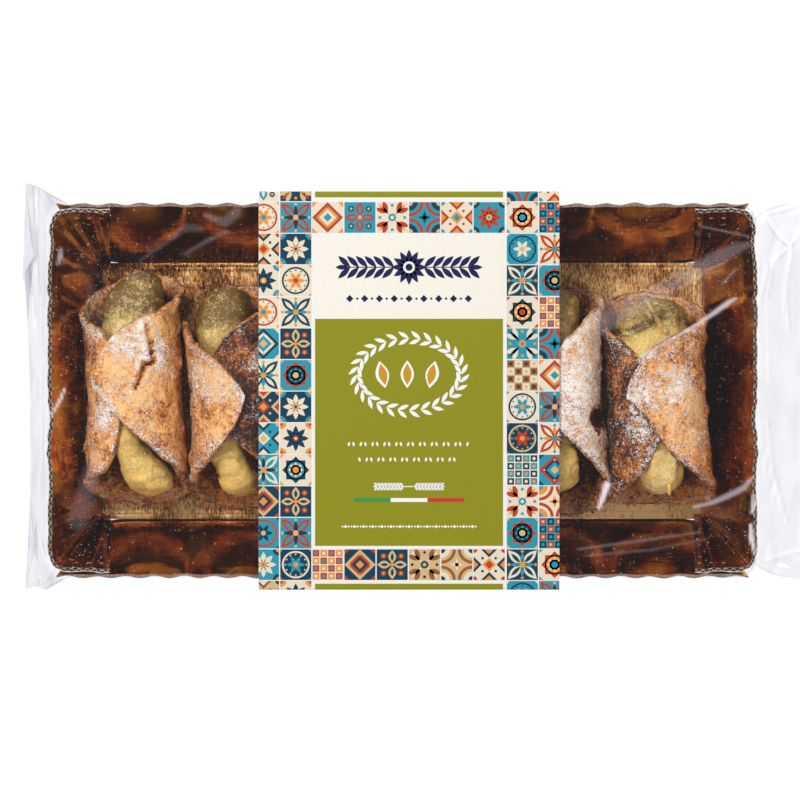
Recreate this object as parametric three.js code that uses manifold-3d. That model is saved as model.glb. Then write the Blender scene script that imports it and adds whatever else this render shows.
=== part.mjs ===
// Gift pack of six filled pastry rolls: a clear film bag drawn over a tapered tray, and a printed
// card sleeve round the middle of both. Millimetres, +Z up. The origin is the centre of the tray,
// on the plane that the sleeve's lower panel rests on.
import * as THREE from 'three';
import { mergeVertices } from 'three/addons/utils/BufferGeometryUtils.js';
import Module from 'manifold-3d';

const wasm = await Module();
wasm.setup();

// ---- Driving dimensions ----------------------------------------------------------------------

// Card sleeve: a flat top panel, two sides that slope in with the tray, and a narrower lower panel.
const SLEEVE = {
  length: 101.5, // along X, the width of the band
  centreX: 2.2, // it sits a little off the tray's centre
  topWidth: 135.2,
  bottomWidth: 95,
  height: 40,
  wall: 0.5,
  foldRadius: 0.8,
  foldSteps: 4,
};

const GAP = 0.3; // between the film and the card, all round

// Tray: a tapered board tray with a wavy cut edge. These are its outer sizes with the film on it.
const TRAY = {
  rimLength: 240,
  rimWidth: 127,
  floorLength: 213.4,
  floorWidth: 92.6,
  height: 36,
  rimCorner: 7,
  floorCorner: 4,
  heel: 0.6, // small bevel where the walls leave the floor
};
const BASE_Z = SLEEVE.wall + GAP;
const RIM_Z = BASE_Z + TRAY.height;

// Waves along the long sides of the rim. They fade out down the wall. The short sides are plain.
const WAVE = { count: 23, depth: 0.8, stepsPerWave: 4, fadeFrom: 0.55 };
const SHORT_SIDE_STEPS = 30;

// Pastry rolls under the film: the centre of each on the tray, left to right.
const ROLLS = [
  { x: -91.2, y: 2.2 },
  { x: -56.0, y: 0.4 },
  { x: -20.5, y: 0.0 },
  { x: 15.1, y: 0.6 },
  { x: 53.3, y: -0.6 },
  { x: 87.2, y: -2.4 },
];
const ROLL = {
  diameter: 35.6,
  length: 75,
  crossing: 13.5, // from a roll's centre to the point where its two flaps cross, at each end
  mouthSpread: 0.62, // half-width of the open end's V, for each millimetre past the crossing
};

// Film over the top: how it lies on the rolls, and how far it sinks where nothing carries it.
const FILM = {
  crestZ: SLEEVE.height - SLEEVE.wall - GAP - 0.1,
  valleyDip: 3.6, // between two rolls
  mouthDip: 2.6, // over the open end of a roll
  marginSag: 2.2, // between the rolls' ends and the rim
  flapStep: 1.3, // the upper flap's edge, felt through the film
  step: 2.4, // spacing of the film's grid along X where the film shows
  stepUnderSleeve: 7,
  stepY: 3.0,
};

// Ends of the bag: a wedge from the rim to the seal, then the flat fin of the seal itself.
const FIN_THICKNESS = 1.0;
const LEFT_END = {
  sections: [
    { x: -98, halfWidth: 40, low: 4, high: 33 },
    { x: -107.2, halfWidth: 42, low: 1.2, high: 34 },
    { x: -111, halfWidth: 47, low: 5, high: 35 },
    { x: -116.8, halfWidth: 55, low: 12, high: 36.2 },
    { x: -121.6, halfWidth: 62, low: 17, high: 35 },
    { x: -124.6, halfWidth: 67, low: 19.4, high: 27.6 },
    { x: -125.8, halfWidth: 69, low: 20, high: 23 },
  ],
  fin: [
    { x: -124.6, z: 21.9, halfWidth: 69 },
    { x: -126.6, z: 19, halfWidth: 69.8 },
    { x: -127.3, z: 15, halfWidth: 70 },
    { x: -126.7, z: 9, halfWidth: 69.6 },
  ],
  centreY: 1.4,
};
const RIGHT_END = {
  sections: [
    { x: 98, halfWidth: 40, low: 4, high: 33 },
    { x: 107.2, halfWidth: 42, low: 1.2, high: 34 },
    { x: 111, halfWidth: 47, low: 5, high: 35 },
    { x: 117.6, halfWidth: 55, low: 12, high: 36.2 },
    { x: 124.4, halfWidth: 61, low: 17, high: 33.2 },
    { x: 130, halfWidth: 63, low: 19.8, high: 28 },
    { x: 134.5, halfWidth: 64, low: 20.6, high: 23.5 },
  ],
  fin: [
    { x: 132.5, z: 22.2, halfWidth: 64 },
    { x: 136, z: 21.4, halfWidth: 65 },
    { x: 139, z: 20.5, halfWidth: 65.6 },
    { x: 142, z: 19.3, halfWidth: 66 },
  ],
  centreY: 0,
};

// ---- Small helpers ---------------------------------------------------------------------------

const clamp01 = (value) => Math.min(1, Math.max(0, value));

function smoothstep(low, high, value) {
  const t = clamp01((value - low) / (high - low));
  return t * t * (3 - 2 * t);
}

/** Turns vertex triples and triangle index triples into a geometry. */
function geometryFrom(points, triangles) {
  const geometry = new THREE.BufferGeometry();
  geometry.setAttribute('position', new THREE.Float32BufferAttribute(points.flat(), 3));
  geometry.setIndex(triangles.flat());
  return geometry;
}

/** Turns a closed geometry into a solid for joining and cutting. */
function toSolid(geometry) {
  const bare = geometry.clone();
  for (const name of Object.keys(bare.attributes)) {
    if (name !== 'position') bare.deleteAttribute(name);
  }
  const merged = mergeVertices(bare, 1e-4);
  const mesh = new wasm.Mesh({
    numProp: 3,
    vertProperties: Float32Array.from(merged.attributes.position.array),
    triVerts: Uint32Array.from(merged.index.array),
  });
  return new wasm.Manifold(mesh);
}

/** Turns a solid back into a geometry with its own normals. */
function toGeometry(solid) {
  const mesh = solid.getMesh();
  const geometry = new THREE.BufferGeometry();
  geometry.setAttribute('position', new THREE.BufferAttribute(Float32Array.from(mesh.vertProperties), 3));
  geometry.setIndex(new THREE.BufferAttribute(Uint32Array.from(mesh.triVerts), 1));
  geometry.computeVertexNormals();
  return geometry;
}

/** Skins a stack of rings with equal point counts, and closes both ends with a fan. */
function loftRings(rings) {
  const count = rings[0].length;
  const points = rings.flat();
  const triangles = [];
  for (let level = 0; level < rings.length - 1; level += 1) {
    for (let i = 0; i < count; i += 1) {
      const a = level * count + i;
      const b = level * count + ((i + 1) % count);
      triangles.push([a, b, b + count], [a, b + count, a + count]);
    }
  }
  const middleOf = (ring) => [0, 1, 2].map((axis) => ring.reduce((sum, p) => sum + p[axis], 0) / count);
  const lastRing = (rings.length - 1) * count;
  const startHub = points.push(middleOf(rings[0])) - 1;
  const endHub = points.push(middleOf(rings[rings.length - 1])) - 1;
  for (let i = 0; i < count; i += 1) {
    const next = (i + 1) % count;
    triangles.push([startHub, next, i], [endHub, lastRing + i, lastRing + next]);
  }
  return geometryFrom(points, triangles);
}

// ---- Tray body -------------------------------------------------------------------------------

const CORNER_STEPS = 6;

/** One outline of the tray at height z, anticlockwise from above, with waves on its long sides. */
function trayRing(halfLength, halfWidth, radius, z, waveDepth) {
  const ring = [];
  const shortSide = { size: 2 * (halfWidth - radius), steps: SHORT_SIDE_STEPS, waveDepth: 0 };
  const longSide = { size: 2 * (halfLength - radius), steps: WAVE.count * WAVE.stepsPerWave, waveDepth };
  const sides = [
    { start: [halfLength, -halfWidth + radius], run: [0, 1], out: [1, 0], ...shortSide },
    { start: [halfLength - radius, halfWidth], run: [-1, 0], out: [0, 1], ...longSide },
    { start: [-halfLength, halfWidth - radius], run: [0, -1], out: [-1, 0], ...shortSide },
    { start: [-halfLength + radius, -halfWidth], run: [1, 0], out: [0, -1], ...longSide },
  ];
  sides.forEach((side, index) => {
    for (let i = 0; i <= side.steps; i += 1) {
      const along = (side.size * i) / side.steps;
      const wave = side.waveDepth * 0.5 * (1 - Math.cos((2 * Math.PI * i) / WAVE.stepsPerWave));
      ring.push([
        side.start[0] + side.run[0] * along + side.out[0] * wave,
        side.start[1] + side.run[1] * along + side.out[1] * wave,
        z,
      ]);
    }
    const endX = side.start[0] + side.run[0] * side.size - side.out[0] * radius;
    const endY = side.start[1] + side.run[1] * side.size - side.out[1] * radius;
    const firstAngle = (index * Math.PI) / 2;
    for (let i = 1; i < CORNER_STEPS; i += 1) {
      const angle = firstAngle + (i * Math.PI) / 2 / CORNER_STEPS;
      ring.push([endX + radius * Math.cos(angle), endY + radius * Math.sin(angle), z]);
    }
  });
  return ring;
}

/** The tapered block of the filled tray, carried on above the rim so that the lid can cut it. */
function trayBlock() {
  const level = (share) => {
    const halfLength = THREE.MathUtils.lerp(TRAY.floorLength, TRAY.rimLength, share) / 2;
    const halfWidth = THREE.MathUtils.lerp(TRAY.floorWidth, TRAY.rimWidth, share) / 2;
    const radius = THREE.MathUtils.lerp(TRAY.floorCorner, TRAY.rimCorner, share);
    const depth = WAVE.depth * smoothstep(WAVE.fadeFrom, 1, share);
    return trayRing(halfLength, halfWidth, radius, BASE_Z + share * TRAY.height, depth);
  };
  const heelRing = trayRing(
    TRAY.floorLength / 2 - TRAY.heel,
    TRAY.floorWidth / 2 - TRAY.heel,
    TRAY.floorCorner - TRAY.heel,
    BASE_Z,
    0,
  );
  const overRim = level(1).map(([x, y]) => [x, y, RIM_Z + TRAY.height / 3]);
  return loftRings([heelRing, level(TRAY.heel / TRAY.height), level(WAVE.fadeFrom), level(0.8), level(1), overRim]);
}

// ---- Lid of film -----------------------------------------------------------------------------

/** The roll whose centre line is nearest to x. */
function nearestRoll(x) {
  return ROLLS.reduce((best, roll) => (Math.abs(roll.x - x) < Math.abs(best.x - x) ? roll : best));
}

/** Height of the film over a point of the tray. */
function lidHeight(x, y) {
  const roll = nearestRoll(x);
  const acrossRoll = x - roll.x;
  const alongRoll = Math.abs(y - roll.y);
  const radius = ROLL.diameter / 2;
  const side = clamp01(Math.abs(acrossRoll) / radius);
  const bearing = 1 - smoothstep(ROLL.length / 2 - 6, ROLL.length / 2 + 4, alongRoll);
  const valley = FILM.valleyDip * 0.5 * (1 - Math.cos(Math.PI * side)) * bearing;
  const mouthHalf = (alongRoll - ROLL.crossing) * ROLL.mouthSpread;
  const mouth = mouthHalf > 0 ? FILM.mouthDip * (1 - smoothstep(0.5, 1, Math.abs(acrossRoll) / mouthHalf)) : 0;
  const flapEdge = 0.3 * radius * Math.cos((Math.PI * clamp01(alongRoll / ROLL.crossing)) / 2);
  const flap = FILM.flapStep * smoothstep(flapEdge + 3, flapEdge, acrossRoll) * (1 - side * side);
  const toLongRim = (TRAY.rimWidth / 2 - Math.abs(y)) / (TRAY.rimWidth / 2 - ROLL.length / 2);
  const toShortRim = (TRAY.rimLength / 2 - Math.abs(x)) / (TRAY.rimLength / 2 - Math.abs(ROLLS[0].x) - radius / 2);
  const inward = clamp01(Math.min(toLongRim, toShortRim));
  const plain = THREE.MathUtils.lerp(RIM_Z, FILM.crestZ - FILM.flapStep, smoothstep(0, 1, inward));
  const sag = FILM.marginSag * Math.sin(Math.PI * inward);
  return plain - sag - valley * inward + (flap - mouth) * bearing * inward;
}

/** Even places from low to high, about one step apart. The last place is left out. */
function spread(low, high, step) {
  const count = Math.round((high - low) / step);
  return Array.from({ length: count }, (_, i) => low + ((high - low) * i) / count);
}

/** A block whose upper face is the film over the whole tray, with a coarser grid under the sleeve. */
function lidBlock() {
  const overlap = 4; // past the rim and below the floor, for a clean cut
  const halfLength = TRAY.rimLength / 2 + overlap;
  const halfWidth = TRAY.rimWidth / 2 + overlap;
  const sleeveLow = SLEEVE.centreX - SLEEVE.length / 2;
  const sleeveHigh = SLEEVE.centreX + SLEEVE.length / 2;
  const places = [
    ...spread(-halfLength, sleeveLow, FILM.step),
    ...spread(sleeveLow, sleeveHigh, FILM.stepUnderSleeve),
    ...spread(sleeveHigh, halfLength, FILM.step),
    halfLength,
  ];
  const columns = places.length - 1;
  const rows = Math.round((2 * halfWidth) / FILM.stepY);
  const low = BASE_Z - overlap;
  const points = [];
  for (let row = 0; row <= rows; row += 1) {
    const y = -halfWidth + (2 * halfWidth * row) / rows;
    places.forEach((x) => points.push([x, y, lidHeight(x, y)]));
  }
  const stride = columns + 1;
  const topCount = points.length;
  const triangles = [];
  for (let row = 0; row < rows; row += 1) {
    for (let column = 0; column < columns; column += 1) {
      const a = row * stride + column;
      triangles.push([a, a + 1, a + stride + 1], [a, a + stride + 1, a + stride]);
    }
  }
  const border = [];
  for (let column = 0; column < columns; column += 1) border.push(column);
  for (let row = 0; row < rows; row += 1) border.push(row * stride + columns);
  for (let column = columns; column > 0; column -= 1) border.push(rows * stride + column);
  for (let row = rows; row > 0; row -= 1) border.push(row * stride);
  border.forEach((index) => points.push([points[index][0], points[index][1], low]));
  const hub = points.push([0, 0, low]) - 1;
  border.forEach((index, i) => {
    const next = (i + 1) % border.length;
    const lowHere = topCount + i;
    const lowNext = topCount + next;
    triangles.push([index, lowHere, lowNext], [index, lowNext, border[next]], [hub, lowNext, lowHere]);
  });
  return geometryFrom(points, triangles);
}

// ---- Ends of the bag -------------------------------------------------------------------------

const SECTION_STEPS = 5;

/** One upright section of an end: a box with rounded corners, in the plane at x. */
function endSection(section, centreY, towardsPlusX) {
  const middleZ = (section.low + section.high) / 2;
  const halfHeight = (section.high - section.low) / 2;
  const radius = Math.min(halfHeight * 0.98, 9);
  const ring = [];
  for (let quarter = 0; quarter < 4; quarter += 1) {
    const signY = quarter === 0 || quarter === 3 ? 1 : -1;
    const signZ = quarter < 2 ? 1 : -1;
    for (let i = 0; i <= SECTION_STEPS; i += 1) {
      const angle = ((quarter + i / SECTION_STEPS) * Math.PI) / 2;
      ring.push([
        section.x,
        centreY + signY * (section.halfWidth - radius) + radius * Math.cos(angle),
        middleZ + signZ * (halfHeight - radius) + radius * Math.sin(angle),
      ]);
    }
  }
  return towardsPlusX ? ring : ring.reverse();
}

/** The wedge of film between the tray's end wall and the seal. */
function endWedge(end, towardsPlusX) {
  return loftRings(end.sections.map((section) => endSection(section, end.centreY, towardsPlusX)));
}

/** The fin of the seal: a thin strip that follows its path and keeps its thickness. */
function endFin(end) {
  const path = end.fin;
  const rings = path.map((point, i) => {
    const before = path[Math.max(0, i - 1)];
    const after = path[Math.min(path.length - 1, i + 1)];
    const run = new THREE.Vector2(after.x - before.x, after.z - before.z).normalize();
    const offX = (-run.y * FIN_THICKNESS) / 2;
    const offZ = (run.x * FIN_THICKNESS) / 2;
    const corner = (signY, signOff) => [
      point.x + signOff * offX,
      end.centreY + signY * point.halfWidth,
      point.z + signOff * offZ,
    ];
    return [corner(1, -1), corner(1, 1), corner(-1, 1), corner(-1, -1)];
  });
  return loftRings(rings);
}

// ---- The two solids --------------------------------------------------------------------------

/** The filled bag: tray block under the lid of film, with both ends joined on. */
function bagGeometry() {
  const body = toSolid(trayBlock()).intersect(toSolid(lidBlock()));
  const ends = [
    endWedge(LEFT_END, false),
    endFin(LEFT_END),
    endWedge(RIGHT_END, true),
    endFin(RIGHT_END),
  ];
  return toGeometry(ends.reduce((solid, end) => solid.add(toSolid(end)), body));
}

/** Outline of the sleeve's section, Y across and Z up, moved in by the given amount. */
function sleeveOutline(path, inset) {
  const slope = (SLEEVE.topWidth - SLEEVE.bottomWidth) / 2 / SLEEVE.height;
  const sideInset = inset * Math.hypot(1, slope);
  const low = inset;
  const high = SLEEVE.height - inset;
  const halfAt = (z) => SLEEVE.bottomWidth / 2 + slope * z - sideInset;
  const radius = SLEEVE.foldRadius - inset;
  const corners = [
    [halfAt(low), low],
    [halfAt(high), high],
    [-halfAt(high), high],
    [-halfAt(low), low],
  ].map(([y, z]) => new THREE.Vector2(y, z));
  corners.forEach((corner, i) => {
    const toBefore = corners[(i + 3) % 4].clone().sub(corner).normalize();
    const toAfter = corners[(i + 1) % 4].clone().sub(corner).normalize();
    const halfAngle = Math.acos(toBefore.dot(toAfter)) / 2;
    const reach = radius / Math.tan(halfAngle);
    const start = corner.clone().addScaledVector(toBefore, reach);
    const end = corner.clone().addScaledVector(toAfter, reach);
    if (i === 0) path.moveTo(start.x, start.y);
    else path.lineTo(start.x, start.y);
    path.quadraticCurveTo(corner.x, corner.y, end.x, end.y);
  });
  path.closePath();
  return path;
}

/** The sleeve: a closed band of card, open at both ends, along X. */
function sleeveGeometry() {
  const section = sleeveOutline(new THREE.Shape(), 0);
  section.holes.push(sleeveOutline(new THREE.Path(), SLEEVE.wall));
  const geometry = new THREE.ExtrudeGeometry(section, {
    depth: SLEEVE.length,
    bevelEnabled: false,
    curveSegments: SLEEVE.foldSteps,
  });
  // The section is drawn in the XY plane: its X becomes the part's Y, and its Y the part's Z.
  const axes = new THREE.Matrix4().makeBasis(
    new THREE.Vector3(0, 1, 0),
    new THREE.Vector3(0, 0, 1),
    new THREE.Vector3(1, 0, 0),
  );
  return geometry.applyMatrix4(axes);
}

function namedMesh(name, geometry, material) {
  const mesh = new THREE.Mesh(geometry, material);
  mesh.name = name;
  return mesh;
}

const filmMaterial = new THREE.MeshStandardMaterial({ color: 0xb98a58, roughness: 0.2, metalness: 0.1 });
const cardMaterial = new THREE.MeshStandardMaterial({ color: 0x94931f, roughness: 0.45, metalness: 0 });

const bag = namedMesh('bag', bagGeometry(), filmMaterial);
const sleeve = namedMesh('sleeve', sleeveGeometry(), cardMaterial);
sleeve.position.x = SLEEVE.centreX - SLEEVE.length / 2;

const pack = new THREE.Group();
pack.add(bag, sleeve);

export default pack;
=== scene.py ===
"""A shop pack of six filled pastry rolls, dressed for rendering.

The pack is a gold-foil tray of fluted board with six rolls of fried pastry, each filled with
pistachio cream and dusted with icing sugar. A clear film bag closes round the tray, and a printed
card sleeve holds it all round the middle. Shapes are worked out in millimetres, with the tray's
centre as origin, and are turned to metres where a mesh is made.
"""

from __future__ import annotations

import itertools
import logging
import math
from dataclasses import dataclass, field
from enum import Enum
from typing import Callable, Iterable, Sequence

import bpy
import numpy as np
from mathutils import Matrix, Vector

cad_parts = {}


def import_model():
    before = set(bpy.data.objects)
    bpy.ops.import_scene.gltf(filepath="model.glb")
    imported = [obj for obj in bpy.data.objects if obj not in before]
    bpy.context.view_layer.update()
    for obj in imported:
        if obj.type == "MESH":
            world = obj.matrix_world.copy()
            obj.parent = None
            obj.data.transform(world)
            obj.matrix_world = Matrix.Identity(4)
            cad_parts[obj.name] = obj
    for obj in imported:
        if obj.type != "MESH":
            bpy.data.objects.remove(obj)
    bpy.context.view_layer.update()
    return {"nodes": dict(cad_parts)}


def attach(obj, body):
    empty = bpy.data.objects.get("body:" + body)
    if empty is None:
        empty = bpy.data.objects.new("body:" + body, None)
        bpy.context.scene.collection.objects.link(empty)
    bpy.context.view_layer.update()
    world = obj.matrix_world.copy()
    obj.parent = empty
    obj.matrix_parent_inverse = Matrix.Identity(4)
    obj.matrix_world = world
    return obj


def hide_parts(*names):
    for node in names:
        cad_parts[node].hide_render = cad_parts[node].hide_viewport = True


LOG = logging.getLogger("pastry_pack")

MM = 0.001  # one millimetre, in the scene's metres
BODY = "root"

Array = np.ndarray
Face = Sequence[int]
Pair = tuple[float, float]
Triple = tuple[float, float, float]
Thing = bpy.types.Object
Material = bpy.types.Material
Node = bpy.types.Node
Owner = bpy.types.Material | bpy.types.World


# ---- Numbers and noise ----


def ease(low: float, high: float, value: Array | float) -> Array:
    """Ease from 0 at low to 1 at high.

    Args:
        low: where the ease starts; it may lie above high, which turns the ease round.
        high: where the ease ends.
        value: the numbers to ease.

    Returns:
        The eased numbers, each from 0 to 1.
    """
    share = np.clip((np.asarray(value, dtype=float) - low) / (high - low), 0.0, 1.0)
    return share * share * (3.0 - 2.0 * share)


def mix(first: Array | float, second: Array | float, share: Array | float) -> Array:
    """Blend from first at share 0 to second at share 1."""
    return np.asarray(first) * (1.0 - np.asarray(share)) + np.asarray(second) * np.asarray(share)


def bell(value: Array, width: float) -> Array:
    """Give a smooth hump that is 1 at value 0 and falls off over width."""
    return np.exp(-((value / width) ** 2))


def rows(*columns: Array | float) -> Array:
    """Put columns side by side as rows of coordinates; a single number fills its column."""
    return np.stack(np.broadcast_arrays(*columns), axis=-1)


def unit(vectors: Array) -> Array:
    """Scale rows to length one."""
    return vectors / np.maximum(np.linalg.norm(vectors, axis=-1, keepdims=True), 1e-9)


class SmoothNoise:
    """Seeded value noise in three dimensions, worked out for whole arrays of points."""

    TABLE_BITS = 12
    PRIMES = (73856093, 19349663, 83492791)

    def __init__(self, seed: int) -> None:
        """Draw the table of values.

        Args:
            seed: the seed of the table.
        """
        rng = np.random.default_rng(seed)
        self.table = rng.uniform(-1.0, 1.0, 1 << self.TABLE_BITS)
        self.offset = rng.uniform(-50.0, 50.0, 3)

    def at(self, points: Array, size: float) -> Array:
        """Give the noise at each point.

        Args:
            points: rows of x, y and z in millimetres.
            size: the width of one bump, in millimetres.

        Returns:
            One value from -1 to 1 for each point.
        """
        place = points / size + self.offset
        base = np.floor(place)
        part = place - base
        part = part * part * (3.0 - 2.0 * part)
        cell = base.astype(np.int64)
        total = np.zeros(len(points))
        for corner in np.ndindex(2, 2, 2):
            weight = np.prod(np.where(corner, part, 1.0 - part), axis=1)
            code = np.bitwise_xor.reduce((cell + corner) * self.PRIMES, axis=1)
            total += weight * self.table[code & (1 << self.TABLE_BITS) - 1]
        return total

    def sum_at(self, points: Array, *layers: Pair) -> Array:
        """Add up noises, each given by its height and the width of its bumps."""
        return sum(height * self.at(points, size) for height, size in layers)


def through_points(stations: Array, steps: int) -> Array:
    """Run a smooth curve through rows of numbers.

    Args:
        stations: the rows that the curve passes through.
        steps: how many steps to take between two rows.

    Returns:
        The rows of the smooth curve, with the first and last station among them.
    """
    padded = np.vstack([2 * stations[0] - stations[1], stations, 2 * stations[-1] - stations[-2]])
    curve = []
    for before, start, end, after in zip(padded, padded[1:], padded[2:], padded[3:]):
        for t in (step / steps for step in range(steps)):
            square = (2 * before - 5 * start + 4 * end - after) * t**2
            cube = (3 * start - before - 3 * end + after) * t**3
            curve.append(0.5 * (2 * start + (end - before) * t + square + cube))
    return np.array([*curve, stations[-1]])


def beside_line(points: Array, line: Sequence[Sequence[float]]) -> Iterable[tuple[Array, Array]]:
    """Measure points in a plane against each straight stretch of an open line.

    Args:
        points: rows of two coordinates.
        line: the line's corners, of which the first two numbers count.

    Yields:
        For each stretch, how far along it each point lies, from 0 to 1, and how far from it.
    """
    corners = np.array(line)[:, :2]
    for first, run in zip(corners, np.diff(corners, axis=0)):
        along = np.clip((points - first) @ run / (run @ run), 0.0, 1.0)
        yield along, np.linalg.norm(points - first - along[:, None] * run, axis=1)


def distance_to_line(points: Array, line: Sequence[Pair]) -> Array:
    """Measure the shortest way from points in a plane to an open line."""
    return np.min([away for _, away in beside_line(points, line)], axis=0)


# ---- Colours and shader nodes ----


def linear(colour: str) -> tuple[float, float, float, float]:
    """Turn an sRGB hex colour to linear light.

    Args:
        colour: six hex digits after a hash sign.

    Returns:
        Linear red, green and blue, and an alpha of one.
    """
    parts = (int(colour[i : i + 2], 16) / 255.0 for i in (1, 3, 5))
    red, green, blue = (v / 12.92 if v <= 0.04045 else ((v + 0.055) / 1.055) ** 2.4 for v in parts)
    return red, green, blue, 1.0


def per_metre(millimetres: float) -> float:
    """Give the texture scale for a feature of this size, for coordinates in metres."""
    return 1.0 / (millimetres * MM)


class Graph:
    """The node tree of a material or of the sky while it is built."""

    def __init__(self, owner: Owner) -> None:
        """Empty the owner's tree.

        Args:
            owner: the material or the world that the nodes belong to.
        """
        owner.use_nodes = True
        self.owner = owner
        self.tree = owner.node_tree
        self.tree.nodes.clear()

    def add(self, kind: str, settings: dict | None = None, **inputs: object) -> Node:
        """Add one node, set it up and link it.

        Args:
            kind: the node's type name in Blender, without its first ten letters.
            settings: the node's own properties by name. A list under the name ramp sets the
                colour ramp's places and colours.
            inputs: values, hex colours, output sockets or nodes, which stand for their first
                output, by the input's name with underscores for spaces. A name that ends in a
                number means that input.

        Returns:
            The new node.
        """
        node = self.tree.nodes.new(f"ShaderNode{kind}")
        for name, value in (settings or {}).items():
            if name == "ramp":
                stops = node.color_ramp.elements
                while len(stops) < len(value):
                    stops.new(0.5)
                for stop, (place, colour) in zip(stops, value):
                    stop.position = place
                    stop.color = linear(colour) if isinstance(colour, str) else colour
            else:
                setattr(node, name, value)
        for name, value in inputs.items():
            place = name.rsplit("_", 1)[-1]
            socket = node.inputs[int(place) if place.isdigit() else name.replace("_", " ")]
            if isinstance(value, (bpy.types.NodeSocket, Node)):
                self.tree.links.new(getattr(value, "outputs", [value])[0], socket)
            else:
                socket.default_value = linear(value) if isinstance(value, str) else value
        return node

    def stirred(self, value: bpy.types.NodeSocket, *noises: tuple[Node, float]) -> Node:
        """Move a value up and down by noises.

        Args:
            value: the output that gives the value.
            noises: each noise with its weight. Its middle leaves the value as it is.

        Returns:
            The node that gives the moved value.
        """
        for noise, weight in noises:
            shift = self.add("Math", {"operation": "MULTIPLY_ADD"}, in_0=noise, in_1=weight, in_2=-0.5 * weight)
            value = self.add("Math", in_0=value, in_1=shift)
        return value

    def close(self, shader: Node, kind: str = "OutputMaterial") -> Owner:
        """Link the last shader to an output, and give back the finished owner."""
        self.add(kind, Surface=shader)
        return self.owner


# ---- Meshes ----


@dataclass
class MeshData:
    """Points in millimetres and faces, gathered before they become one Blender mesh."""

    points: list[Array] = field(default_factory=list)
    faces: list[list[int]] = field(default_factory=list)
    slots: list[int] = field(default_factory=list)

    def add(self, points: Array, faces: Iterable[Face] = (), slot: int = 0) -> int:
        """Add points with the faces between them.

        Args:
            points: rows of x, y and z in millimetres.
            faces: point numbers that count from the first of these points.
            slot: the material slot of these faces.

        Returns:
            The number that the first of these points has in the whole.
        """
        start = sum(map(len, self.points))
        self.points.append(np.asarray(points, dtype=float))
        self.link(([start + i for i in face] for face in faces), slot)
        return start

    def link(self, faces: Iterable[Face], slot: int = 0) -> None:
        """Add faces between points that are there already.

        Args:
            faces: point numbers in the whole.
            slot: the material slot of these faces.
        """
        added = [[int(i) for i in face] for face in faces]
        self.faces += added
        self.slots += [slot] * len(added)

    def slab(self, front: Array, back: Array, columns: int, flip: bool, slots: Sequence[int]) -> None:
        """Add two grids of points, one behind the other, and close the gap round them.

        Args:
            front: the points of one face, row by row.
            back: the points of the other face, in the same order.
            columns: the number of points in a row.
            flip: whether the faces look the other way.
            slots: material slots of the front, the back, the edge, and the edge of the last row.
        """
        count = len(front) // columns
        cells = grid_faces(count, columns)
        sides = (cells[:, ::-1], cells) if flip else (cells, cells[:, ::-1])
        starts = [self.add(points, side, slot) for points, side, slot in zip((front, back), sides, slots)]
        border = grid_border(count, columns)
        on_last = [index // columns == count - 1 for index in border]
        edge = ring_faces(*([start + index for index in border] for start in starts))
        for face, here, following in zip(edge, on_last, on_last[1:] + on_last[:1]):
            self.link([face if flip else face[::-1]], slots[3 if here and following else 2])

    def build(
        self,
        name: str,
        slot: str,
        materials: Sequence[Material],
        attributes: dict[str, Array] | None = None,
        smooth: bool = True,
        sharp_angle: float | None = None,
        replaces: str | None = "bag",
    ) -> Thing:
        """Make the Blender object and let it ride on the pack's body.

        Args:
            name: the object's name.
            slot: the record's material slot that it belongs to; not used.
            materials: the materials of slots 0, 1 and so on.
            attributes: named values, one for each point, for the material to read.
            smooth: whether faces are shaded smooth.
            sharp_angle: the angle in degrees above which an edge stays sharp.
            replaces: the solid that it takes the place of, if any.

        Returns:
            The new object.
        """
        mesh = bpy.data.meshes.new(name)
        mesh.from_pydata((np.vstack(self.points) * MM).tolist(), [], self.faces)
        for material in materials:
            mesh.materials.append(material)
        if len(materials) > 1:
            mesh.polygons.foreach_set("material_index", self.slots)
        for key, values in (attributes or {}).items():
            layer = mesh.attributes.new(key, "FLOAT", "POINT")
            layer.data.foreach_set("value", np.asarray(values, dtype=np.float32))
        mesh.polygons.foreach_set("use_smooth", [smooth] * len(mesh.polygons))
        if sharp_angle is not None:
            mesh.set_sharp_from_angle(angle=math.radians(sharp_angle))
        mesh.update()
        obj = bpy.data.objects.new(name, mesh)
        bpy.context.scene.collection.objects.link(obj)
        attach(obj, BODY)
        if replaces:
            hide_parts(replaces)
        return obj


def grid_faces(count: int, columns: int, closed: bool = False) -> Array:
    """Number the faces of a grid of points that is stored row by row.

    Args:
        count: the number of rows.
        columns: the number of points in a row.
        closed: whether each row joins up with its own start.

    Returns:
        Rows of four point numbers.
    """
    row, column = np.meshgrid(np.arange(count - 1), np.arange(columns if closed else columns - 1), indexing="ij")
    here, beside = row * columns + column, row * columns + (column + 1) % columns
    return np.stack([here, beside, beside + columns, here + columns], axis=-1).reshape(-1, 4)


def grid_border(count: int, columns: int) -> list[int]:
    """Number the points round the border of a grid, each once.

    Args:
        count: the number of rows.
        columns: the number of points in a row.

    Returns:
        The point numbers along the first row, the last column, the last row and the first column.
    """
    grid = np.arange(count * columns).reshape(count, columns)
    return [*grid[0], *grid[1:, -1], *grid[-1, -2::-1], *grid[-2:0:-1, 0]]


def ring_faces(first: Sequence[int], second: Sequence[int]) -> list[list[int]]:
    """Join two closed rings of equal length.

    Args:
        first: point numbers of one ring.
        second: point numbers of the other.

    Returns:
        One face of four points for each step round the rings.
    """
    count = len(first)
    return [[first[i], first[(i + 1) % count], second[(i + 1) % count], second[i]] for i in range(count)]


# ---- Finishes ----


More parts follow.
